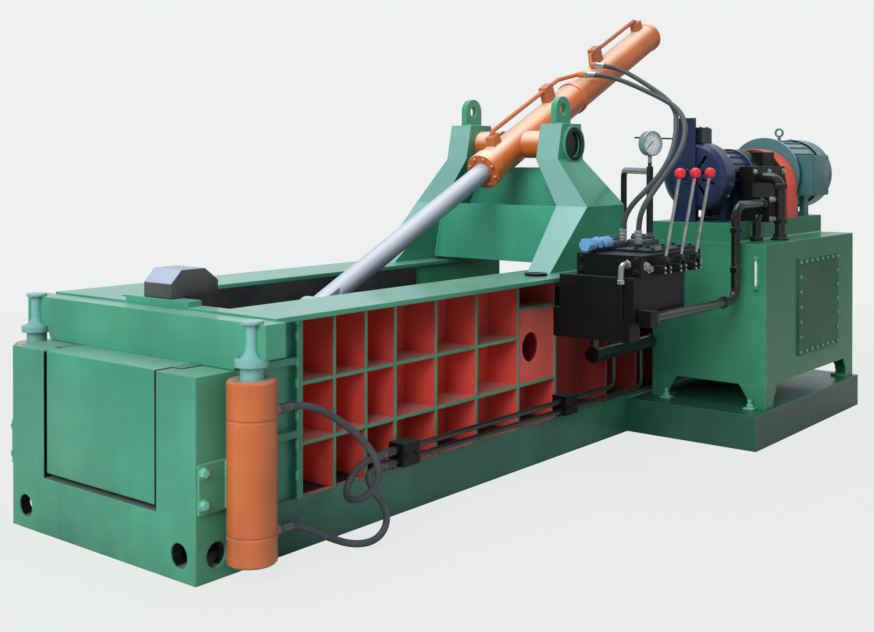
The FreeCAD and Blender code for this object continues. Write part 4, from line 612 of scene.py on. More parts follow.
class Workshop:
    """Makes and places pieces with the mesh tools."""

    @staticmethod
    def start(piece: Piece | None = None) -> None:
        """Leave edit mode and select nothing, or one piece alone."""
        if bpy.context.object and bpy.context.object.mode != "OBJECT":
            bpy.ops.object.mode_set(mode="OBJECT")
        bpy.ops.object.select_all(action="DESELECT")
        if piece:
            bpy.context.view_layer.objects.active = piece
            piece.select_set(True)

    @staticmethod
    @contextmanager
    def editing(piece: Piece) -> Iterator[None]:
        """Edit mode on one piece with its whole mesh selected."""
        Workshop.start(piece)
        bpy.ops.object.mode_set(mode="EDIT")
        bpy.ops.mesh.select_all(action="SELECT")
        yield
        bpy.ops.object.mode_set(mode="OBJECT")

    @staticmethod
    def linked(name: str, data: bpy.types.ID) -> Piece:
        """New object in the scene."""
        piece = bpy.data.objects.new(name, data)
        bpy.context.scene.collection.objects.link(piece)
        return piece

    @staticmethod
    def settle(piece: Piece, place: Matrix | None = None) -> Piece:
        """Put a piece's place, turn and scale into its mesh, at a new place where one is given."""
        if place is not None:
            piece.matrix_world = place
        Workshop.start(piece)
        bpy.ops.object.transform_apply(location=True, rotation=True, scale=True)
        return piece

    @staticmethod
    def tidy(piece: Piece, angle: float = 35.0) -> Piece:
        """Merge doubles, point faces outwards and smooth edges shallower than an angle."""
        with Workshop.editing(piece):
            bpy.ops.mesh.remove_doubles(threshold=1e-6)
            bpy.ops.mesh.normals_make_consistent(inside=False)
        bpy.ops.object.shade_smooth_by_angle(angle=math.radians(angle))
        return piece

    @staticmethod
    def aimed(base: Vector, direction: Vector, turn: float = 0.0) -> Matrix:
        """Placement that takes +Z to a direction and the origin to a point."""
        aim = Vector(direction).normalized().to_track_quat("Z", "Y").to_matrix().to_4x4()
        return Matrix.Translation(base) @ aim @ Matrix.Rotation(turn, 4, "Z")

    @classmethod
    def turned(cls, base: Vector, direction: Vector, profile: Profile, sides: int = 40) -> Piece:
        """Turned piece from a disc that is pushed out and resized step by step.

        Args:
            base: where the axis starts.
            direction: where the axis points.
            profile: radius and height of each step along the axis.
            sides: edges round the piece.

        Returns:
            The closed piece.
        """
        cls.start()
        radius, height = profile[0]
        bpy.ops.mesh.primitive_circle_add(vertices=sides, radius=radius, fill_type="NGON",
                                          location=(0, 0, height))
        piece = cls.settle(bpy.context.object)
        with cls.editing(piece):
            for next_radius, next_height in profile[1:]:
                bpy.ops.mesh.extrude_region_move(
                    TRANSFORM_OT_translate={"value": (0, 0, next_height - height)})
                grow = next_radius / radius
                bpy.ops.transform.resize(value=(grow, grow, 1), center_override=(0, 0, next_height))
                radius, height = next_radius, next_height
        return cls.tidy(cls.settle(piece, cls.aimed(base, direction)))

    @classmethod
    def eased(cls, base: Vector, direction: Vector, radius: float, height: float,
              ease: Pair = (0.003, 0.002), sides: int = 6) -> Piece:
        """Straight turned piece or hexagon with sloped rims.

        Args:
            base: where the axis starts.
            direction: where the axis points.
            radius: to the corners.
            height: along the axis.
            ease: how far a rim goes in and how far along.
            sides: edges round the piece.

        Returns:
            The closed piece.
        """
        inner, rise = radius - ease[0], ease[1]
        return cls.turned(base, direction, ((inner, 0.0), (radius, rise), (radius, height - rise),
                                            (inner, height)), sides)

    @classmethod
    def block(cls, low: Vector, high: Vector, round_off: float = 0.002, segments: int = 2,
              cuts: tuple[Place, ...] = ()) -> Piece:
        """Rectangular piece with rounded edges between two corners.

        Args:
            low: its low corner.
            high: its high corner.
            round_off: width of its rounded edges.
            segments: steps across a rounded edge.
            cuts: a point and the outward direction of each plane that cuts it off.

        Returns:
            The closed piece.
        """
        cls.start()
        size = high - low
        bpy.ops.mesh.primitive_cube_add(size=1, location=(low + high) / 2)
        piece = bpy.context.object
        piece.scale = size
        with cls.editing(cls.settle(piece)):
            for point, outwards in cuts:
                bpy.ops.mesh.bisect(plane_co=point, plane_no=outwards, use_fill=True,
                                    clear_outer=True)
                bpy.ops.mesh.select_all(action="SELECT")
            bpy.ops.mesh.bevel(offset=min(round_off, 0.45 * min(size)), segments=segments)
        return cls.tidy(piece)

    @classmethod
    def ring(cls, centre: Vector, direction: Vector, radius: float, wire: float) -> Piece:
        """Round ring."""
        cls.start()
        bpy.ops.mesh.primitive_torus_add(major_radius=radius, minor_radius=wire,
                                         major_segments=48, minor_segments=12)
        return cls.tidy(cls.settle(bpy.context.object, cls.aimed(centre, direction)), 60)

    @classmethod
    def line(cls, name: str, points: list[Vector], radius: float, steps: int = 8,
             round_steps: int = 3) -> Piece:
        """Curve along a smooth line through given control points.

        Args:
            name: the object's name.
            points: the control points.
            radius: of its round section; 0 gives a bare line.
            steps: steps along it between two control points.
            round_steps: steps round a quarter of its section.

        Returns:
            The curve object.
        """
        data = bpy.data.curves.new(name, "CURVE")
        data.dimensions = "3D"
        spline = data.splines.new("NURBS")
        spline.points.add(len(points) - 1)
        for point, place in zip(spline.points, points):
            point.co = (*place, 1.0)
        spline.order_u = 3
        spline.use_endpoint_u = True
        spline.resolution_u = steps
        data.bevel_depth = radius
        data.bevel_resolution = round_steps
        data.use_fill_caps = radius > 0
        return cls.linked(name, data)

    @classmethod
    def meshed(cls, line: Piece) -> Piece:
        """Mesh piece in place of a curve, under its name."""
        name = line.name
        bpy.context.view_layer.update()
        mesh = bpy.data.meshes.new_from_object(line)
        bpy.data.objects.remove(line)
        return cls.linked(name, mesh)

    @classmethod
    def tube(cls, points: list[Vector], radius: float) -> Piece:
        """Rigid tube along a smooth line through given points."""
        return cls.tidy(cls.meshed(cls.line("tube", points, radius)), 50)

    @classmethod
    def copies(cls, first: Piece, moves: list[Matrix]) -> Piece:
        """One piece made of moved copies of a first one, which is used up."""
        made = []
        for move in moves:
            made.append(cls.linked("copy", first.data.copy()))
            made[-1].data.transform(move)
        bpy.data.objects.remove(first)
        return cls.joined(made)

    @classmethod
    def joined(cls, pieces: list[Piece]) -> Piece:
        """Several pieces as one object."""
        cls.start(pieces[0])
        if len(pieces) > 1:
            for piece in pieces:
                piece.select_set(True)
            bpy.ops.object.join()
        return pieces[0]

    @classmethod
    def bolts(cls, places: list[Place], across: float, height: float,
              washer: bool = True) -> Piece:
        """Hexagon heads, each at a place and pointing along a direction."""
        half = across / 2 / math.cos(math.radians(30))
        parts = [cls.turned(Vector((0, 0, 0)), UP, (
            (half * 0.98, 0.0), (half, 0.0008), (half, height * 0.86), (half * 0.86, height)), 6)]
        if washer:
            parts.append(cls.turned(Vector((0, 0, -0.0002)), UP, (
                (half * 1.28, 0.0), (half * 1.28, 0.0016), (half * 1.2, 0.0022)), 24))
        return cls.copies(cls.joined(parts), [cls.aimed(place, direction, 0.35 * index)
                                              for index, (place, direction) in enumerate(places)])

    @classmethod
    def bead(cls, start: Vector, end: Vector, size: float) -> Piece:
        """Rippled weld bead along one straight run."""
        length = (end - start).length
        count = max(2, round(length / (1.5 * size)))
        step = length / count
        cls.start()
        bpy.ops.mesh.primitive_circle_add(vertices=8, radius=0.72 * size, fill_type="NOTHING")
        bead = bpy.context.object
        with cls.editing(bead):
            for grow, rise in ((1.35, 0.35), (1.02, 0.35), (0.726, 0.30)):
                bpy.ops.mesh.extrude_region_move(
                    TRANSFORM_OT_translate={"value": (0, 0, rise * step)})
                bpy.ops.transform.resize(value=(grow, grow, 1), center_override=(0, 0, 0),
                                         orient_type="GLOBAL")
        row = bead.modifiers.new("row", "ARRAY")
        row.count = count
        row.use_relative_offset = False
        row.use_constant_offset = True
        row.constant_offset_displace = (0, 0, step)
        row.use_merge_vertices = True
        row.merge_threshold = 0.0004
        bpy.ops.object.modifier_apply(modifier=row.name)
        with cls.editing(bead):
            bpy.ops.mesh.fill_holes(sides=0)
        return cls.tidy(cls.settle(bead, cls.aimed(start, end - start)), 80)

    @classmethod
    def welds(cls, runs: list[Run], size: float) -> Piece:
        """Weld beads along straight runs."""
        return cls.joined([cls.bead(start, end, size) for start, end in runs])

    @classmethod
    def finish(cls, name: str, parts: list[Piece], coat: Coat, slot: str,
               body: str = "bed") -> Piece:
        """Join parts into a named piece.

        Args:
            name: the piece's name.
            parts: what it is made of.
            coat: its finish.
            slot: the record's name of its material; not used.
            body: the body it rides on.

        Returns:
            The piece.
        """
        piece = cls.joined(parts)
        piece.name = name
        piece.data.name = name
        coat.cover(piece)
        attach(piece, body)
        LOG.info("piece %s on %s: %d faces", name, body, len(piece.data.polygons))
        return piece


# ---- studio
@dataclass
class Studio:
    """Camera, floor and soft light."""

    eye: Vector = field(default_factory=lambda: spot(-2.300, -3.290, 1.300))
    heading: float = 38.75          # degrees from +X towards +Y
    tilt: float = -0.42             # degrees above the level
    lens: float = 48.29             # mm, on a sensor 36 mm wide
    shift: Pair = (-0.0023, -0.1708)
    backdrop: Colour = paint(238, 241, 240)
    bright_side: Point = (0.62, 0.50, 0.60)
    shadow_reach: Pair = (2.6, 6.5)
    aim: Point = (0.0, -0.3, 0.6)

    def camera(self) -> None:
        """Camera at the photograph's place."""
        data = bpy.data.cameras.new("camera")
        data.lens = self.lens
        data.sensor_width = 36.0
        data.shift_x, data.shift_y = self.shift
        data.clip_end = 200.0
        holder = Workshop.linked("camera", data)
        holder.location = self.eye
        holder.rotation_euler = (math.radians(90 + self.tilt), 0, math.radians(self.heading - 90))
        bpy.context.scene.camera = holder

    def floor(self) -> None:
        """Pale floor that keeps the machine's shadow."""
        Workshop.start()
        bpy.ops.mesh.primitive_grid_add(x_subdivisions=8, y_subdivisions=8, size=120,
                                        location=(0, 0, -0.001))
        floor = bpy.context.object
        floor.name = "floor"
        bench = ShaderBench("pale_floor")
        tone = bench.mixed(bench.noise(0.6, 2.0), paint(176, 178, 178), paint(184, 186, 186))
        lit = bench.node("ShaderNodeBsdfDiffuse", None, {"Color": tone})
        plain = bench.node("ShaderNodeEmission", None, {"Color": self.backdrop, "Strength": 1.0})
        ray = bench.node("ShaderNodeLightPath", output="Is Camera Ray")
        away = bench.node("ShaderNodeVectorMath", {"operation": "LENGTH"}, {0: bench.place()},
                          "Value")
        share = ray * (0.88 + away.between(*self.shadow_reach) * 0.12)
        floor.data.materials.append(bench.output(
            bench.node("ShaderNodeMixShader", None, {0: share, 1: lit, 2: plain})))

    def world(self) -> None:
        """Even sky, pale to the camera, and brighter on one side in reflections."""
        bench = ShaderBench("studio", world=True)
        bpy.context.scene.world = bench.made
        seen, through, mirrored = (bench.node("ShaderNodeLightPath", output=f"Is {kind} Ray")
                                   for kind in ("Camera", "Transmission", "Glossy"))
        way = bench.node("ShaderNodeTexCoord", output="Generated")
        glow = bench.node("ShaderNodeMapRange", None,
                          {"Value": bench.dot(way, self.bright_side), "From Min": 0.15,
                           "From Max": 0.80, "To Min": 0.36, "To Max": 0.86})
        dull, bright, plain = (bench.node("ShaderNodeBackground", None,
                                          {"Color": colour, "Strength": strength})
                               for colour, strength in ((paint(232, 238, 240), 0.32),
                                                        (paint(230, 240, 246), glow),
                                                        (self.backdrop, 1.0)))
        sky = bench.node("ShaderNodeMixShader", None, {0: mirrored, 1: dull, 2: bright})
        direct = operator("MAXIMUM")(seen, through)
        bench.output(bench.node("ShaderNodeMixShader", None, {0: direct, 1: sky, 2: plain}),
                     "World")

    def lamp(self, name: str, place: Point, size: float, power: float,
             mirrored: bool = False) -> None:
        """Square soft lamp aimed at the machine, out of sight itself."""
        data = bpy.data.lights.new(name, "AREA")
        data.shape = "SQUARE"
        data.size = size
        data.energy = power
        holder = Workshop.linked(name, data)
        holder.visible_camera = False
        holder.visible_glossy = mirrored
        holder.location = place
        way = Vector(self.aim) - Vector(place)
        holder.rotation_euler = way.to_track_quat("-Z", "Y").to_euler()

    def build(self) -> None:
        """Make all of it."""
        bpy.context.scene.view_settings.view_transform = "Standard"
        self.camera()
        self.floor()
        self.world()
        self.lamp("key", (-13.0, -3.4, 8.6), 10.0, 2300.0)
        self.lamp("top", (0.0, 0.4, 6.5), 5.0, 170.0, mirrored=True)
        self.lamp("side", (1.5, -8.5, 3.4), 5.0, 110.0)
        self.lamp("back", (7.0, 6.0, 4.5), 5.0, 300.0)


# ---- hoses
@dataclass
class Hose:
    """One free hose and the route it follows, from the object and back to it."""

    name: str
    node: str
    route: list[Point]
    length: float
    body: str = "bed"
    far_body: str = "bed"
    radius: float = 0.012
    metal: Coat = Coat.ZINC
    ribs: Pairs = ((1.02, 0.014), (1.34, 0.016), (1.34, 0.024), (1.22, 0.026),
                   (1.22, 0.030), (1.34, 0.032), (1.34, 0.040), (1.22, 0.042),
                   (1.22, 0.046), (1.34, 0.048), (1.30, 0.058), (1.04, 0.060))
    hexagon: Pairs = ((1.40, 0.0), (1.52, 0.0012), (1.52, 0.0128), (1.36, 0.0145))

    def curve(self, radius: float) -> Piece:
        """Smooth line through the route's control points."""
        return Workshop.line(self.name, [spot(*place) for place in self.route], radius, 12, 5)

    def path(self) -> list[Vector]:
        """Points along the smooth line."""
        bare = Workshop.meshed(self.curve(0.0))
        points = [vertex.co.copy() for vertex in bare.data.vertices]
        bpy.data.meshes.remove(bare.data)
        return points

    def fitting(self, index: int, body: str) -> Piece:
        """Ribbed ferrule and hexagon at one end, from the hose's radius and the tables above."""
        first, second = self.route[:2] if index == 0 else self.route[:-3:-1]
        place = spot(*first)
        towards = spot(*second) - place
        parts = [Workshop.turned(place, towards,
                                 tuple((self.radius * wide, height) for wide, height in table),
                                 sides)
                 for table, sides in ((self.ribs, 40), (self.hexagon, 6))]
        return Workshop.finish(f"{self.name}_end_{index}", parts, self.metal, "bright_steel", body)

    def build(self) -> None:
        ends = [self.fitting(0, self.body), self.fitting(1, self.far_body)]
        piece = self.curve(self.radius)
        points = self.path()
        if self.body == self.far_body:
            Coat.RUBBER.cover(piece)
            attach(piece, self.body)
        else:
            piece = Workshop.meshed(piece)
            Coat.RUBBER.cover(piece)
            Workshop.tidy(piece, 80)
            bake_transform(piece)
        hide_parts(self.node)
        LOG.info("hose %s: line %.3f m", self.name,
                 sum((b - a).length for a, b in zip(points, points[1:])))


HOSES = [
    Hose("gate_hose_upper_line", "gate_hose_upper", [
        (0.254, -0.585, 0.508), (0.330, -0.587, 0.510), (0.402, -0.603, 0.496),
        (0.468, -0.640, 0.452), (0.525, -0.684, 0.392), (0.572, -0.716, 0.322),
        (0.590, -0.722, 0.246), (0.566, -0.692, 0.184), (0.548, -0.630, 0.158),
        (0.578, -0.572, 0.176), (0.648, -0.548, 0.222), (0.730, -0.545, 0.252),
        (0.815, -0.545, 0.252)], 0.952, metal=Coat.CRIMP),
    Hose("gate_hose_lower_line", "gate_hose_lower", [
        (0.254, -0.585, 0.130), (0.320, -0.587, 0.127), (0.384, -0.600, 0.104),
        (0.448, -0.630, 0.062), (0.520, -0.668, 0.030), (0.600, -0.690, 0.026),
        (0.668, -0.682, 0.056), (0.700, -0.652, 0.108), (0.690, -0.606, 0.152),
        (0.698, -0.565, 0.194), (0.745, -0.545, 0.212), (0.815, -0.545, 0.212)], 0.765,
        metal=Coat.CRIMP),
    Hose("lid_hose_a_line", "lid_hose_a", [
        (3.066, -0.045, 1.792), (3.066, -0.135, 1.782), (3.034, -0.245, 1.746),
        (2.982, -0.350, 1.700), (2.930, -0.450, 1.652), (2.866, -0.550, 1.606),
        (2.790, -0.640, 1.556), (2.700, -0.712, 1.492), (2.592, -0.762, 1.412),
        (2.474, -0.804, 1.322), (2.346, -0.823, 1.238), (2.256, -0.796, 1.162),
        (2.210, -0.744, 1.094), (2.195, -0.712, 1.022), (2.195, -0.712, 0.932)], 1.679,
        body="lid_barrel"),
    Hose("lid_hose_b_line", "lid_hose_b", [
        (2.933, -0.060, 1.734), (2.962, -0.132, 1.731), (2.946, -0.248, 1.706),
        (2.896, -0.378, 1.662), (2.838, -0.500, 1.618), (2.770, -0.616, 1.576),
        (2.698, -0.718, 1.532), (2.618, -0.796, 1.466), (2.522, -0.842, 1.384),
        (2.414, -0.862, 1.306), (2.304, -0.866, 1.234), (2.210, -0.856, 1.162),
        (2.154, -0.836, 1.094), (2.138, -0.820, 1.022), (2.138, -0.820, 0.932)], 1.657,
        body="lid_barrel"),
]


# ---- sub-assemblies
@dataclass
class GateDress:
    """Gate plate with eased edges, and the cylinder seats' bolts and welds."""

    half: float = 0.299
    foot: float = 0.210
    top: float = 0.637
    depth: float = 0.237
    recess: float = 0.004
    ease: float = 0.006
    tongue_x: Pair = (0.070, 0.190)
    tongue_root: float = 0.296
    tongue_reach: float = 0.344
    tongue_foot: float = 0.205
    seat_face: float = 0.512
    seat_bolt_x: float = 0.020
    seat_bolt_z: Pair = (0.344, 0.246)
    seat_bolt: Pair = (0.027, 0.015)
    weld_x: float = 0.112
    weld_face: float = 0.517
    weld_z: Pair = (0.218, 0.366)
    weld_size: float = 0.010

    def plate(self) -> None:
        """Sliding plate whose rounded edges leave a groove round it; its enamel paints the groove's
        shade.
        """
        parts = [Workshop.block(spot(self.recess, -self.half, self.foot),
                                spot(self.depth, self.half, self.top), self.ease, 3)]
        for side in (-1, 1):
            low, high = sorted((side * self.tongue_root, side * self.tongue_reach))
            parts.append(Workshop.block(spot(self.tongue_x[0], low, self.tongue_foot),
                                        spot(self.tongue_x[1], high, self.top)))
        piece = Workshop.finish("gate_panel", parts, Coat.SLIDE, "green_paint", "gate")
        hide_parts("gate_plate")

    def seats(self) -> None:
        """Two bolts and a thick weld on the seat plate of each gate cylinder."""
        places, runs = [], []
        for side in (-1, 1):
            places += [(spot(self.seat_bolt_x, side * self.seat_face, z), Vector((0, side, 0)))
                       for z in self.seat_bolt_z]
            runs.append(tuple(spot(self.weld_x, side * self.weld_face, z) for z in self.weld_z))
        for name, piece in (("seat_bolts", Workshop.bolts(places, *self.seat_bolt)),
                            ("seat_welds", Workshop.welds(runs, self.weld_size))):
            Workshop.finish(name, [piece], Coat.WELD, "green_paint")

    def build(self) -> None:
        """Make all of it."""
        self.plate()
        self.seats()


@dataclass
class FrameDress:
    """Weld beads of the bed and towers, and the dark pad on the near rail."""

    rail_top: float = 0.797
    foot_x: Pair = (1.935, 2.577)
    outer: float = 0.500
    inner: float = 0.385
    kink: Pair = (0.333, 1.080)
    neck: Pair = (0.205, 1.295)
    ties: tuple[tuple[float, Pair], ...] = ((2.245, (0.815, 1.066)), (2.478, (0.805, 1.080)),
                                            (2.478, (1.080, 1.250)))
    eye_x: Pair = (2.333, 2.449)
    eye_y: Pair = (0.250, 0.280)
    head_top: float = 1.462
    bar: Pair = (0.4255, 0.4992)
    stitches: tuple[float, ...] = (0.235, 0.338, 0.430, 0.540, 0.610, 0.700, 0.752)
    stitch: float = 0.030
    seams: tuple[tuple[Pair, Pair], ...] = (((2.615, 3.900), (-0.500, 0.158)),
                                            ((2.770, 3.875), (-0.955, 0.907)))
    tower_bead: float = 0.0055
    stitch_bead: float = 0.0065
    seam_bead: float = 0.005
    pad: Pair = (1.873, -0.473)
    pad_profile: Profile = ((0.047, 0.0), (0.049, 0.002), (0.049, 0.009), (0.046, 0.012),
                            (0.020, 0.012), (0.018, 0.010))

    def lean(self, z: float) -> float:
        """Distance of a tower's inner face from the middle line at a height."""
        low, high = (self.inner, self.rail_top), self.kink
        if z > self.kink[1]:
            low, high = self.kink, self.neck
        share = (z - low[1]) / (high[1] - low[1])
        return low[0] + (high[0] - low[0]) * share

    def tower_runs(self, side: int) -> list[Run]:
        """Beads round a tower's foot, its eye and the tie plates."""
        z = self.rail_top
        front, rear = self.foot_x
        outer, inner = side * self.outer, side * self.inner
        runs = [(spot(front, y, z), spot(rear, y, z)) for y in (outer, inner)]
        runs += [(spot(x, outer, z), spot(x, inner, z)) for x in (front, rear)]
        for x, (low, high) in self.ties:
            runs.append((spot(x, side * self.lean(low + 1e-6), low),
                         spot(x, side * self.lean(high - 1e-6), high)))
        return runs + [tuple(spot(x, side * y, self.head_top) for x in self.eye_x)
                       for y in self.eye_y]

    def build(self) -> None:
        """Make all of it."""
        x, y = self.bar
        stitches = [(spot(x, side * y, z), spot(x, side * y, z + self.stitch))
                    for side in (-1, 1) for z in self.stitches]
        seams = [tuple(spot(x, *line) for x in ends) for ends, line in self.seams]
        for name, runs, size in (
                ("tower_welds", self.tower_runs(-1) + self.tower_runs(1), self.tower_bead),
                ("corner_stitches", stitches, self.stitch_bead),
                ("plinth_welds", seams, self.seam_bead)):
            Workshop.finish(name, [Workshop.welds(runs, size)], Coat.WELD, "green_paint")
        pad = Workshop.turned(spot(*self.pad, self.rail_top), UP, self.pad_profile)
        Workshop.finish("rail_pad", [pad], Coat.BLACK, "black_paint")


@dataclass
class LidDress:
    """The lid's nose, with its slopes towards the gate and the tower as in the photograph.

    The CAD nose has the same size with its slopes to the sides, so the lid is a copy of the CAD
    piece without its nose, and the nose is a piece of its own.
    """

    foot: float = 0.819
    back: float = 0.4565
    low: Point = (0.2455, -0.0745, 0.8185)
    high: Point = (0.4545, 0.0745, 0.915)
    slopes: Pair = (0.045, 0.060)
    drop: float = 0.045
    ease: float = 0.0025

    def plate(self) -> None:
        """Copy of the lid, cut off just above the foot of its nose."""
        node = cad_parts["lid"]
        piece = Workshop.linked("lid_plate", node.data.copy())
        piece.data.transform(node.matrix_world)
        with Workshop.editing(Workshop.tidy(piece)):
            bpy.ops.mesh.select_mode(type="FACE")
            bpy.ops.mesh.select_all(action="DESELECT")
        for face in piece.data.polygons:
            corners = [piece.data.vertices[index].co for index in face.vertices]
            face.select = (max(corner.x for corner in corners) < GATE_FACE + self.back
                           and max(corner.z for corner in corners) > self.foot)
        bpy.ops.object.mode_set(mode="EDIT")
        bpy.ops.mesh.bisect(plane_co=spot(0.0, 0.0, self.foot), plane_no=UP, use_fill=True,
                            clear_outer=True)
        bpy.ops.mesh.select_mode(type="VERT")
        Workshop.finish("lid_plate", [Workshop.tidy(piece)], Coat.SCOURED, "wear_steel", "lid")
        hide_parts("lid")

    def nose(self) -> None:
        """Block with a slope towards the gate and a longer one towards the tower."""
        near, far = self.slopes
        edge = self.high[2] - self.drop
        cuts = ((spot(self.low[0], 0.0, edge), Vector((-self.drop, 0.0, near))),
                (spot(self.high[0], 0.0, edge), Vector((self.drop, 0.0, far))))
        piece = Workshop.block(spot(*self.low), spot(*self.high), self.ease, 2, cuts)
        Workshop.finish("lid_nose", [piece], Coat.NOSE, "wear_steel", "lid")

    def build(self) -> None:
        """Make both."""
        self.plate()
        self.nose()


@dataclass
class LidCylinderDress:
    """Gland bolts of the lid cylinder."""

    trunnion: Point = (2.400, 0.0, 1.366)
    towards_lid: Point = (-0.90102, 0.0, -0.433777)      # unit direction
    gland: float = 0.303
    bolt_circle: float = 0.069
    count: int = 8
    bolt: Pair = (0.016, 0.009)

    def build(self) -> None:
        """Bolts round the gland's face."""
        aim = Vector(self.towards_lid)
        centre = spot(*self.trunnion) + aim * self.gland
        across = Vector((0, 1, 0))
        above = aim.cross(across)
        places = []
        for index in range(self.count):
            turn = 2 * math.pi * (index + 0.5) / self.count
            out = across * math.cos(turn) + above * math.sin(turn)
            places.append((centre + out * self.bolt_circle, aim))
        bolts = Workshop.bolts(places, *self.bolt, washer=False)
        Workshop.finish("gland_bolts", [bolts], Coat.BARREL, "orange_paint", "lid_barrel")


@dataclass
class PowerUnitDress:
    """Small fittings of the tank, motors and pump."""

    gauge: Pair = (2.763, -1.080)
    gauge_z: Pair = (0.700, 0.852)
    gauge_foot: Point = (0.015, 0.011, 0.024)
    gauge_back: Pair = (0.003, 0.012)
    glass: float = 0.006
    cowl_screws: Pairs = ((2.886, 0.163), (3.975, 0.187))
    cowl_turns: tuple[int, ...] = (35, 90, 145, 215, 270, 325)
    cowl_screw: Pair = (0.011, 0.005)
    shaft: Pair = (-0.750, 1.214)
    rear_lid: tuple[Point, Point] = ((3.664, -1.0005, 1.109), (3.866, -0.9950, 1.312))
    front_lid: tuple[Point, Point] = ((2.796, -0.791, 1.4395), (2.891, -0.709, 1.4455))
    lid_inset: float = 0.013
    lid_ease: float = 0.0025
    lid_screw: Pair = (0.010, 0.004)
    pump_face: float = -0.950
    pump_bolts: Pairs = ((3.200, 1.030), (3.375, 1.030), (3.200, 1.235), (3.375, 1.235),
                         (3.035, 1.235))
    pump_bolt: Pair = (0.018, 0.011)
    port_face: float = -1.035
    port_x: Pair = (3.023, 3.057)
    port_z: Pair = (1.011, 1.104)
    clamp_line: Pair = (-0.572, 0.232)
    clamp_x: tuple[float, ...] = (0.904, 0.958, 1.978, 2.032)
    clamp_bolt: Pair = (0.016, 0.010)
    flange_faces: tuple[tuple[float, Vector], ...] = ((4.110, TO_GATE), (4.200, TO_REAR))
    flange_circle: float = 0.154
    flange_z: float = 0.362
    flange_count: int = 12
    flange_bolt: Pair = (0.024, 0.014)
    anchors: Pairs = ((2.735, -1.060), (2.735, -0.640))
    anchor_plate: Point = (0.024, 0.024, 0.008)
    anchor_nut: Profile = ((0.0165, 0.0), (0.017, 0.001), (0.017, 0.013), (0.0145, 0.015))
    anchor_stud: Profile = ((0.0085, 0.010), (0.0085, 0.034), (0.0065, 0.036))
    plinth_top: float = 0.158
    tank_top: float = 0.907
    tall_pipe: Pair = (3.110, -1.047)
    tall_flange: Profile = ((0.043, 0.0), (0.044, 0.001), (0.044, 0.011), (0.042, 0.012),
                            (0.033, 0.013), (0.033, 0.030), (0.030, 0.032))
    tall_unions: Pair = (0.985, 1.150)
    tall_union: Pair = (0.034, 0.028)
    pipe_line: float = -1.007
    pipe_unions: tuple[tuple[float, float, Vector], ...] = (
        (1.912, 0.655, TO_REAR), (2.560, 0.655, TO_REAR), (2.700, 0.780, UP),
        (2.700, 0.960, UP), (2.972, 1.084, TO_REAR))
    pipe_union: Pair = (0.029, 0.026)

    def level_glass(self) -> None:
        """Bowed glass tube between two blocks."""
        x, y = self.gauge
        low, high = self.gauge_z
        deep, half, tall = self.gauge_foot
        blocks = [Workshop.block(spot(x - deep, y - half, z), spot(x, y + half, z + tall), 0.003)
                  for z in (low, high - tall)]
        deep, half = self.gauge_back
        blocks.append(Workshop.block(spot(x - deep, y - half, low), spot(x, y + half, high),
                                     0.001))
        body = Workshop.finish("level_glass_body", blocks, Coat.GREEN, "green_paint")
        glass = Workshop.tube([spot(x - bow, y, z) for bow, z in (
            (0.009, low + 0.010), (0.010, low + 0.040), (0.010, (low + high) / 2),
            (0.010, high - 0.040), (0.009, high - 0.010))], self.glass)
        Workshop.finish("level_glass_tube", [glass], Coat.DIAL, "level_glass")
        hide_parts("level_gauge")

    def motors(self) -> None:
        """Screws round both fan covers."""
        places = []
        for x, radius in self.cowl_screws:
            for turn in map(math.radians, self.cowl_turns):
                out = Vector((0, math.cos(turn), math.sin(turn)))
                places.append((spot(x, *self.shaft) + out * radius, out))
        screws = Workshop.bolts(places, *self.cowl_screw)
        Workshop.finish("cowl_screws", [screws], Coat.ZINC, "bright_steel")

    def box_lid(self, name: str, corners: tuple[Point, Point], out: Vector) -> None:
        """Lid of a terminal box with four screws, on top of it or on its near side."""
        low, high = (spot(*corner) for corner in corners)
        inset = Vector((1, 1, 1)) * self.lid_inset
        first, last = low + inset, high - inset
        places = []
        for x in (first.x, last.x):
            if out is UP:
                places += [(Vector((x, y, high.z)), out) for y in (first.y, last.y)]
            else:
                places += [(Vector((x, low.y, z)), out) for z in (first.z, last.z)]
        parts = [Workshop.block(low, high, self.lid_ease, 3),
                 Workshop.bolts(places, *self.lid_screw)]
        Workshop.finish(name, parts, Coat.BOXES, "teal_paint")

    def bolt_rows(self) -> None:
        """Bolts of the pump's block, port block, tube clamps and main cylinder flange."""
        pump = [(spot(x, self.pump_face, z), TO_NEAR) for x, z in self.pump_bolts]
        pump += [(spot(x, self.port_face, z), TO_NEAR) for x in self.port_x for z in self.port_z]
        clamps = [(spot(x, *self.clamp_line), TO_NEAR) for x in self.clamp_x]
        flange = []
        for index in range(self.flange_count):
            turn = 2 * math.pi * (index + 0.5) / self.flange_count
            y = self.flange_circle * math.cos(turn)
            z = self.flange_z + self.flange_circle * math.sin(turn)
            flange += [(spot(x, y, z), out) for x, out in self.flange_faces]
        for name, places, size, coat, slot in (
                ("pump_bolts", pump, self.pump_bolt, Coat.ZINC, "bright_steel"),
                ("clamp_bolts", clamps, self.clamp_bolt, Coat.BLACK, "black_paint"),
                ("flange_bolts", flange, self.flange_bolt, Coat.ZINC, "bright_steel")):
            Workshop.finish(name, [Workshop.bolts(places, *size)], coat, slot)

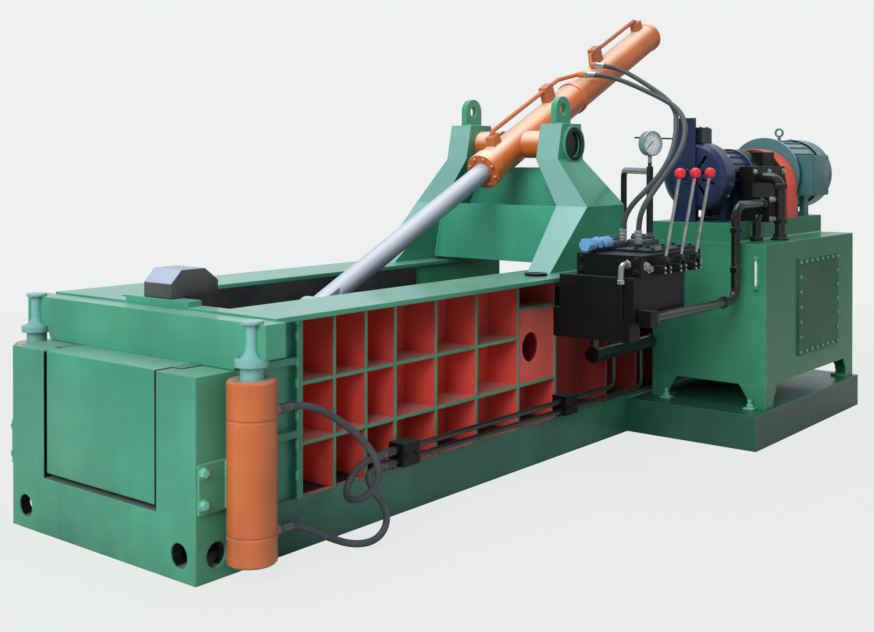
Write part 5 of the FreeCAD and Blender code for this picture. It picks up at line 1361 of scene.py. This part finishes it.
    def fixings(self) -> None:
        """Anchor studs of the tank's feet and hexagons of the pump's pipes."""
        studs, z = [], self.plinth_top
        wide, deep, thick = self.anchor_plate
        for x, y in self.anchors:
            top = spot(x, y, z + thick)
            studs += [Workshop.block(spot(x - wide, y - deep, z),
                                     spot(x + wide, y + deep, z + thick), 0.0015),
                      Workshop.turned(top, UP, self.anchor_nut, 6),
                      Workshop.turned(top, UP, self.anchor_stud, 20)]
        Workshop.finish("tank_anchors", studs, Coat.WELD, "green_paint")
        nuts = [Workshop.turned(spot(*self.tall_pipe, self.tank_top), UP, self.tall_flange)]
        nuts += [Workshop.eased(spot(*self.tall_pipe, z), UP, *self.tall_union)
                 for z in self.tall_unions]
        nuts += [Workshop.eased(spot(x, self.pipe_line, z), way, *self.pipe_union)
                 for x, z, way in self.pipe_unions]
        Workshop.finish("pipe_unions", nuts, Coat.PIPES, "black_paint")

    def build(self) -> None:
        """Make all of it."""
        self.level_glass()
        self.motors()
        self.box_lid("rear_box_lid", self.rear_lid, TO_NEAR)
        self.box_lid("front_box_lid", self.front_lid, UP)
        self.bolt_rows()
        self.fixings()


@dataclass
class ValveDress:
    """Plugs, bolts, elbow and dial of the valve group."""

    lever_x: tuple[float, ...] = (1.990, 2.125, 2.260)
    spool_face: float = -1.037
    spool_out: float = 0.022
    spool_z: Pair = (0.836, 0.854)
    spool_screw: Pair = (0.010, 0.006)
    block_face: float = -0.990
    block_ends: tuple[tuple[float, Vector], ...] = ((1.858, TO_GATE), (2.380, TO_REAR))
    tie_y: Pair = (-0.968, -0.712)
    tie_z: Pair = (0.840, 0.888)
    tie_nut: Pair = (0.020, 0.014)
    plate_top: float = 0.920
    screw_x: tuple[float, ...] = (2.020, 2.120, 2.255, 2.350)
    screw_y: Pair = (-0.952, -0.875)
    screw: Pair = (0.016, 0.010)
    gauge: Point = (2.345, -0.762, 1.365)
    facing: Point = (-0.342020, -0.939693, 0.0)
    plugs: Pairs = ((1.893, 0.866), (1.922, 0.852), (2.057, 0.864), (2.192, 0.862),
                    (2.322, 0.866), (2.352, 0.852))
    plug: Pair = (0.024, 0.016)
    drain_y: float = -0.930
    elbow_line: Pairs = ((1.858, 0.872), (1.836, 0.873), (1.806, 0.870), (1.800, 0.838),
                         (1.799, 0.806))
    elbow_radius: float = 0.012
    drain_line: Pairs = ((1.799, 0.800), (1.799, 0.740), (1.799, 0.690), (1.800, 0.662),
                         (1.812, 0.656), (1.830, 0.656))
    drain_radius: float = 0.0045
    collars: tuple[tuple[Pair, Vector, Profile], ...] = (
        ((1.858, 0.872), TO_GATE, ((0.017, 0.0), (0.018, 0.001), (0.018, 0.010), (0.016, 0.012))),
        ((1.799, 0.796), UP, ((0.014, 0.0), (0.016, 0.001), (0.016, 0.016), (0.014, 0.018))))
    relief_axis: Pair = (-0.752, 0.944)
    housings: tuple[tuple[Point, Point, float], ...] = (
        ((2.026, -0.750, 0.905), (2.156, -0.698, 0.946), 0.009),
        ((2.236, -0.802, 0.905), (2.364, -0.704, 0.944), 0.010))
    caps: tuple[Point, ...] = ((2.056, -0.724, 0.019), (2.110, -0.724, 0.023),
                               (2.268, -0.772, 0.020), (2.262, -0.728, 0.015),
                               (2.322, -0.776, 0.023))
    cap_foot: float = 0.943
    cap_profile: Profile = ((0.9, 0.0), (1.0, 0.002), (1.0, 0.014), (0.7, 0.017), (0.66, 0.024),
                            (0.5, 0.026))
    dial_profile: Profile = ((0.0480, 0.0048), (0.0495, 0.0052), (0.0495, 0.0060),
                             (0.0440, 0.0062))
    lens_profile: Profile = ((0.0492, 0.0160), (0.0498, 0.0164), (0.0498, 0.0172),
                             (0.0440, 0.0182), (0.0250, 0.0190))
    bezel: Point = (0.019, 0.0525, 0.0038)
    mark_low: Point = (-0.0007, 0.036, 0.0061)
    mark_high: Point = (0.0007, 0.044, 0.0066)
    mark_count: int = 11
    mark_step: float = 27.0         # degrees; the first mark is half the sweep to the left

    def plug_set(self) -> None:
        """Bright hexagon plugs on the block's near face and small bolts on the spool housings."""
        plugs = [(spot(x, self.block_face, z), TO_NEAR) for x, z in self.plugs]
        bolts = [(spot(x + side * self.spool_out, self.spool_face, z), TO_NEAR)
                 for x in self.lever_x for side in (-1, 1) for z in self.spool_z]
        parts = [Workshop.bolts(plugs, *self.plug),
                 Workshop.bolts(bolts, *self.spool_screw, washer=False)]
        Workshop.finish("valve_plugs", parts, Coat.ZINC, "bright_steel")

    def top_bolts(self) -> None:
        """Cap screws of the top plate and tie nuts on the block's ends."""
        screws = [(spot(x, y, self.plate_top), UP) for x in self.screw_x for y in self.screw_y]
        nuts = [(spot(x, y, z), way) for x, way in self.block_ends for y in self.tie_y
                for z in self.tie_z]
        parts = [Workshop.bolts(screws, *self.screw), Workshop.bolts(nuts, *self.tie_nut)]
        Workshop.finish("block_screws", parts, Coat.BLACK, "black_paint")

    def elbow(self) -> None:
        """Bright elbow on the end of the block with a thin drain line below it."""
        y = self.drain_y
        bend, line = (Workshop.tube([spot(x, y, z) for x, z in points], radius)
                      for points, radius in ((self.elbow_line, self.elbow_radius),
                                             (self.drain_line, self.drain_radius)))
        collars = [Workshop.turned(spot(x, y, z), way, profile, 6)
                   for (x, z), way, profile in self.collars]
        Workshop.finish("drain_elbow", [bend, *collars], Coat.ZINC, "bright_steel")
        Workshop.finish("drain_line", [line], Coat.BLACK, "black_paint")

    def relief(self) -> None:
        """Hexagon and round step of the relief valve."""
        parts = [Workshop.eased(spot(1.895, *self.relief_axis), TO_REAR, 0.030, 0.022),
                 Workshop.eased(spot(1.945, *self.relief_axis), TO_REAR, 0.027, 0.053,
                                (0.002, 0.001), 40)]
        Workshop.finish("relief_steps", parts, Coat.BLUE, "blue_paint")

    def castings(self) -> None:
        """Small housings and their plugs on the rear of the block's top."""
        parts = [Workshop.block(spot(*low), spot(*high), round_off, 3)
                 for low, high, round_off in self.housings]
        for x, y, radius in self.caps:
            profile = tuple((radius * wide, height) for wide, height in self.cap_profile)
            parts.append(Workshop.turned(spot(x, y, self.cap_foot), UP, profile, 6))
        Workshop.finish("block_castings", parts, Coat.CASTING, "valve_paint")

    def dial(self) -> None:
        """Pale dial with its marks, bright bezel and lens."""
        centre, aim = spot(*self.gauge), Vector(self.facing)
        face = Workshop.turned(centre, aim, self.dial_profile, 64)
        mark = Workshop.block(Vector(self.mark_low), Vector(self.mark_high), 0.0001, 1)
        turns = [self.mark_step * (step - (self.mark_count - 1) / 2)
                 for step in range(self.mark_count)]
        marks = Workshop.copies(mark, [Workshop.aimed(centre, aim, math.radians(turn))
                                       for turn in turns])
        out, radius, wire = self.bezel
        bezel = Workshop.ring(centre + aim * out, aim, radius, wire)
        lens = Workshop.turned(centre, aim, self.lens_profile, 64)
        for name, piece, coat, slot in (("gauge_dial", face, Coat.DIAL, "gauge_case"),
                                        ("gauge_marks", marks, Coat.INK, "gauge_case"),
                                        ("gauge_bezel", bezel, Coat.ZINC, "bright_steel"),
                                        ("gauge_lens", lens, Coat.LENS, "level_glass")):
            Workshop.finish(name, [piece], coat, slot)

    def build(self) -> None:
        """Make all of it."""
        self.plug_set()
        self.top_bolts()
        self.elbow()
        self.relief()
        self.castings()
        self.dial()


# ---- finishes of CAD nodes
@dataclass
class Dressing:
    """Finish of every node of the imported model; the hoses' nodes, not named here, are rubber."""

    nodes: dict[Coat, str] = field(default_factory=lambda: {
        Coat.BASE: "base_frame", Coat.GUIDE: "end_frame",
        Coat.WALL: "side_wall_near side_wall_far",
        Coat.GREEN: "front_beam lifting_eyes cylinder_mount cover_bolts gate_plate crosshead",
        Coat.SCOURED: "wear_plates chamber_floor lid press_head", Coat.GREASE: "lid_hinge_pin",
        Coat.TOWER: "tower_near tower_far", Coat.TIES: "tower_ties", Coat.HUB: "trunnion_bushes",
        Coat.ORANGE: "press_cylinder gate_cylinder_near gate_cylinder_far lid_pipes",
        Coat.DEEP: "tank_plinth", Coat.TANK: "oil_tank tank_legs motor_platform",
        Coat.COVER: "tank_cover", Coat.NAVY: "hose_plate front_motor", Coat.TEAL: "rear_motor",
        Coat.COWLS: "fan_covers", Coat.BOXES: "terminal_boxes", Coat.GUARD: "coupling_guard",
        Coat.BLACK: "pump_housing valve_stand valve_block tube_clamps",
        Coat.PIPES: "pump_pipes return_pipe valve_pipes wall_tubes", Coat.ZINC: "level_gauge",
        Coat.BLUE: "relief_valve relief_knob", Coat.CASE: "pressure_gauge",
        Coat.INK: "gauge_needle", Coat.RODS: "gate_rods", Coat.BARREL: "lid_barrel",
        Coat.SATIN: "lid_rod", Coat.CHROME: "press_rod", Coat.STEEL: "front_rotor rear_rotor",
        Coat.LEVER: "lever_1 lever_2 lever_3",
    })

    def build(self) -> None:
        """Put each finish in its node's slots."""
        coats = {name: coat for coat, names in self.nodes.items() for name in names.split()}
        for name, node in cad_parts.items():
            coat = coats.get(name, Coat.RUBBER)
            coat.cover(node)
            LOG.info("node %s: %s", name, coat.value.name)


def main() -> None:
    """Build the scene."""
    logging.basicConfig(level=logging.INFO, format="%(name)s: %(message)s", stream=sys.stdout)
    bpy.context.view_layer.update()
    Studio().build()
    for hose in HOSES:
        hose.build()
    for group in (GateDress(), FrameDress(), LidDress(), LidCylinderDress(), PowerUnitDress(),
                  ValveDress()):
        group.build()
        LOG.info("built %s", type(group).__name__)
    Dressing().build()


if __name__ == "__main__":
    main()
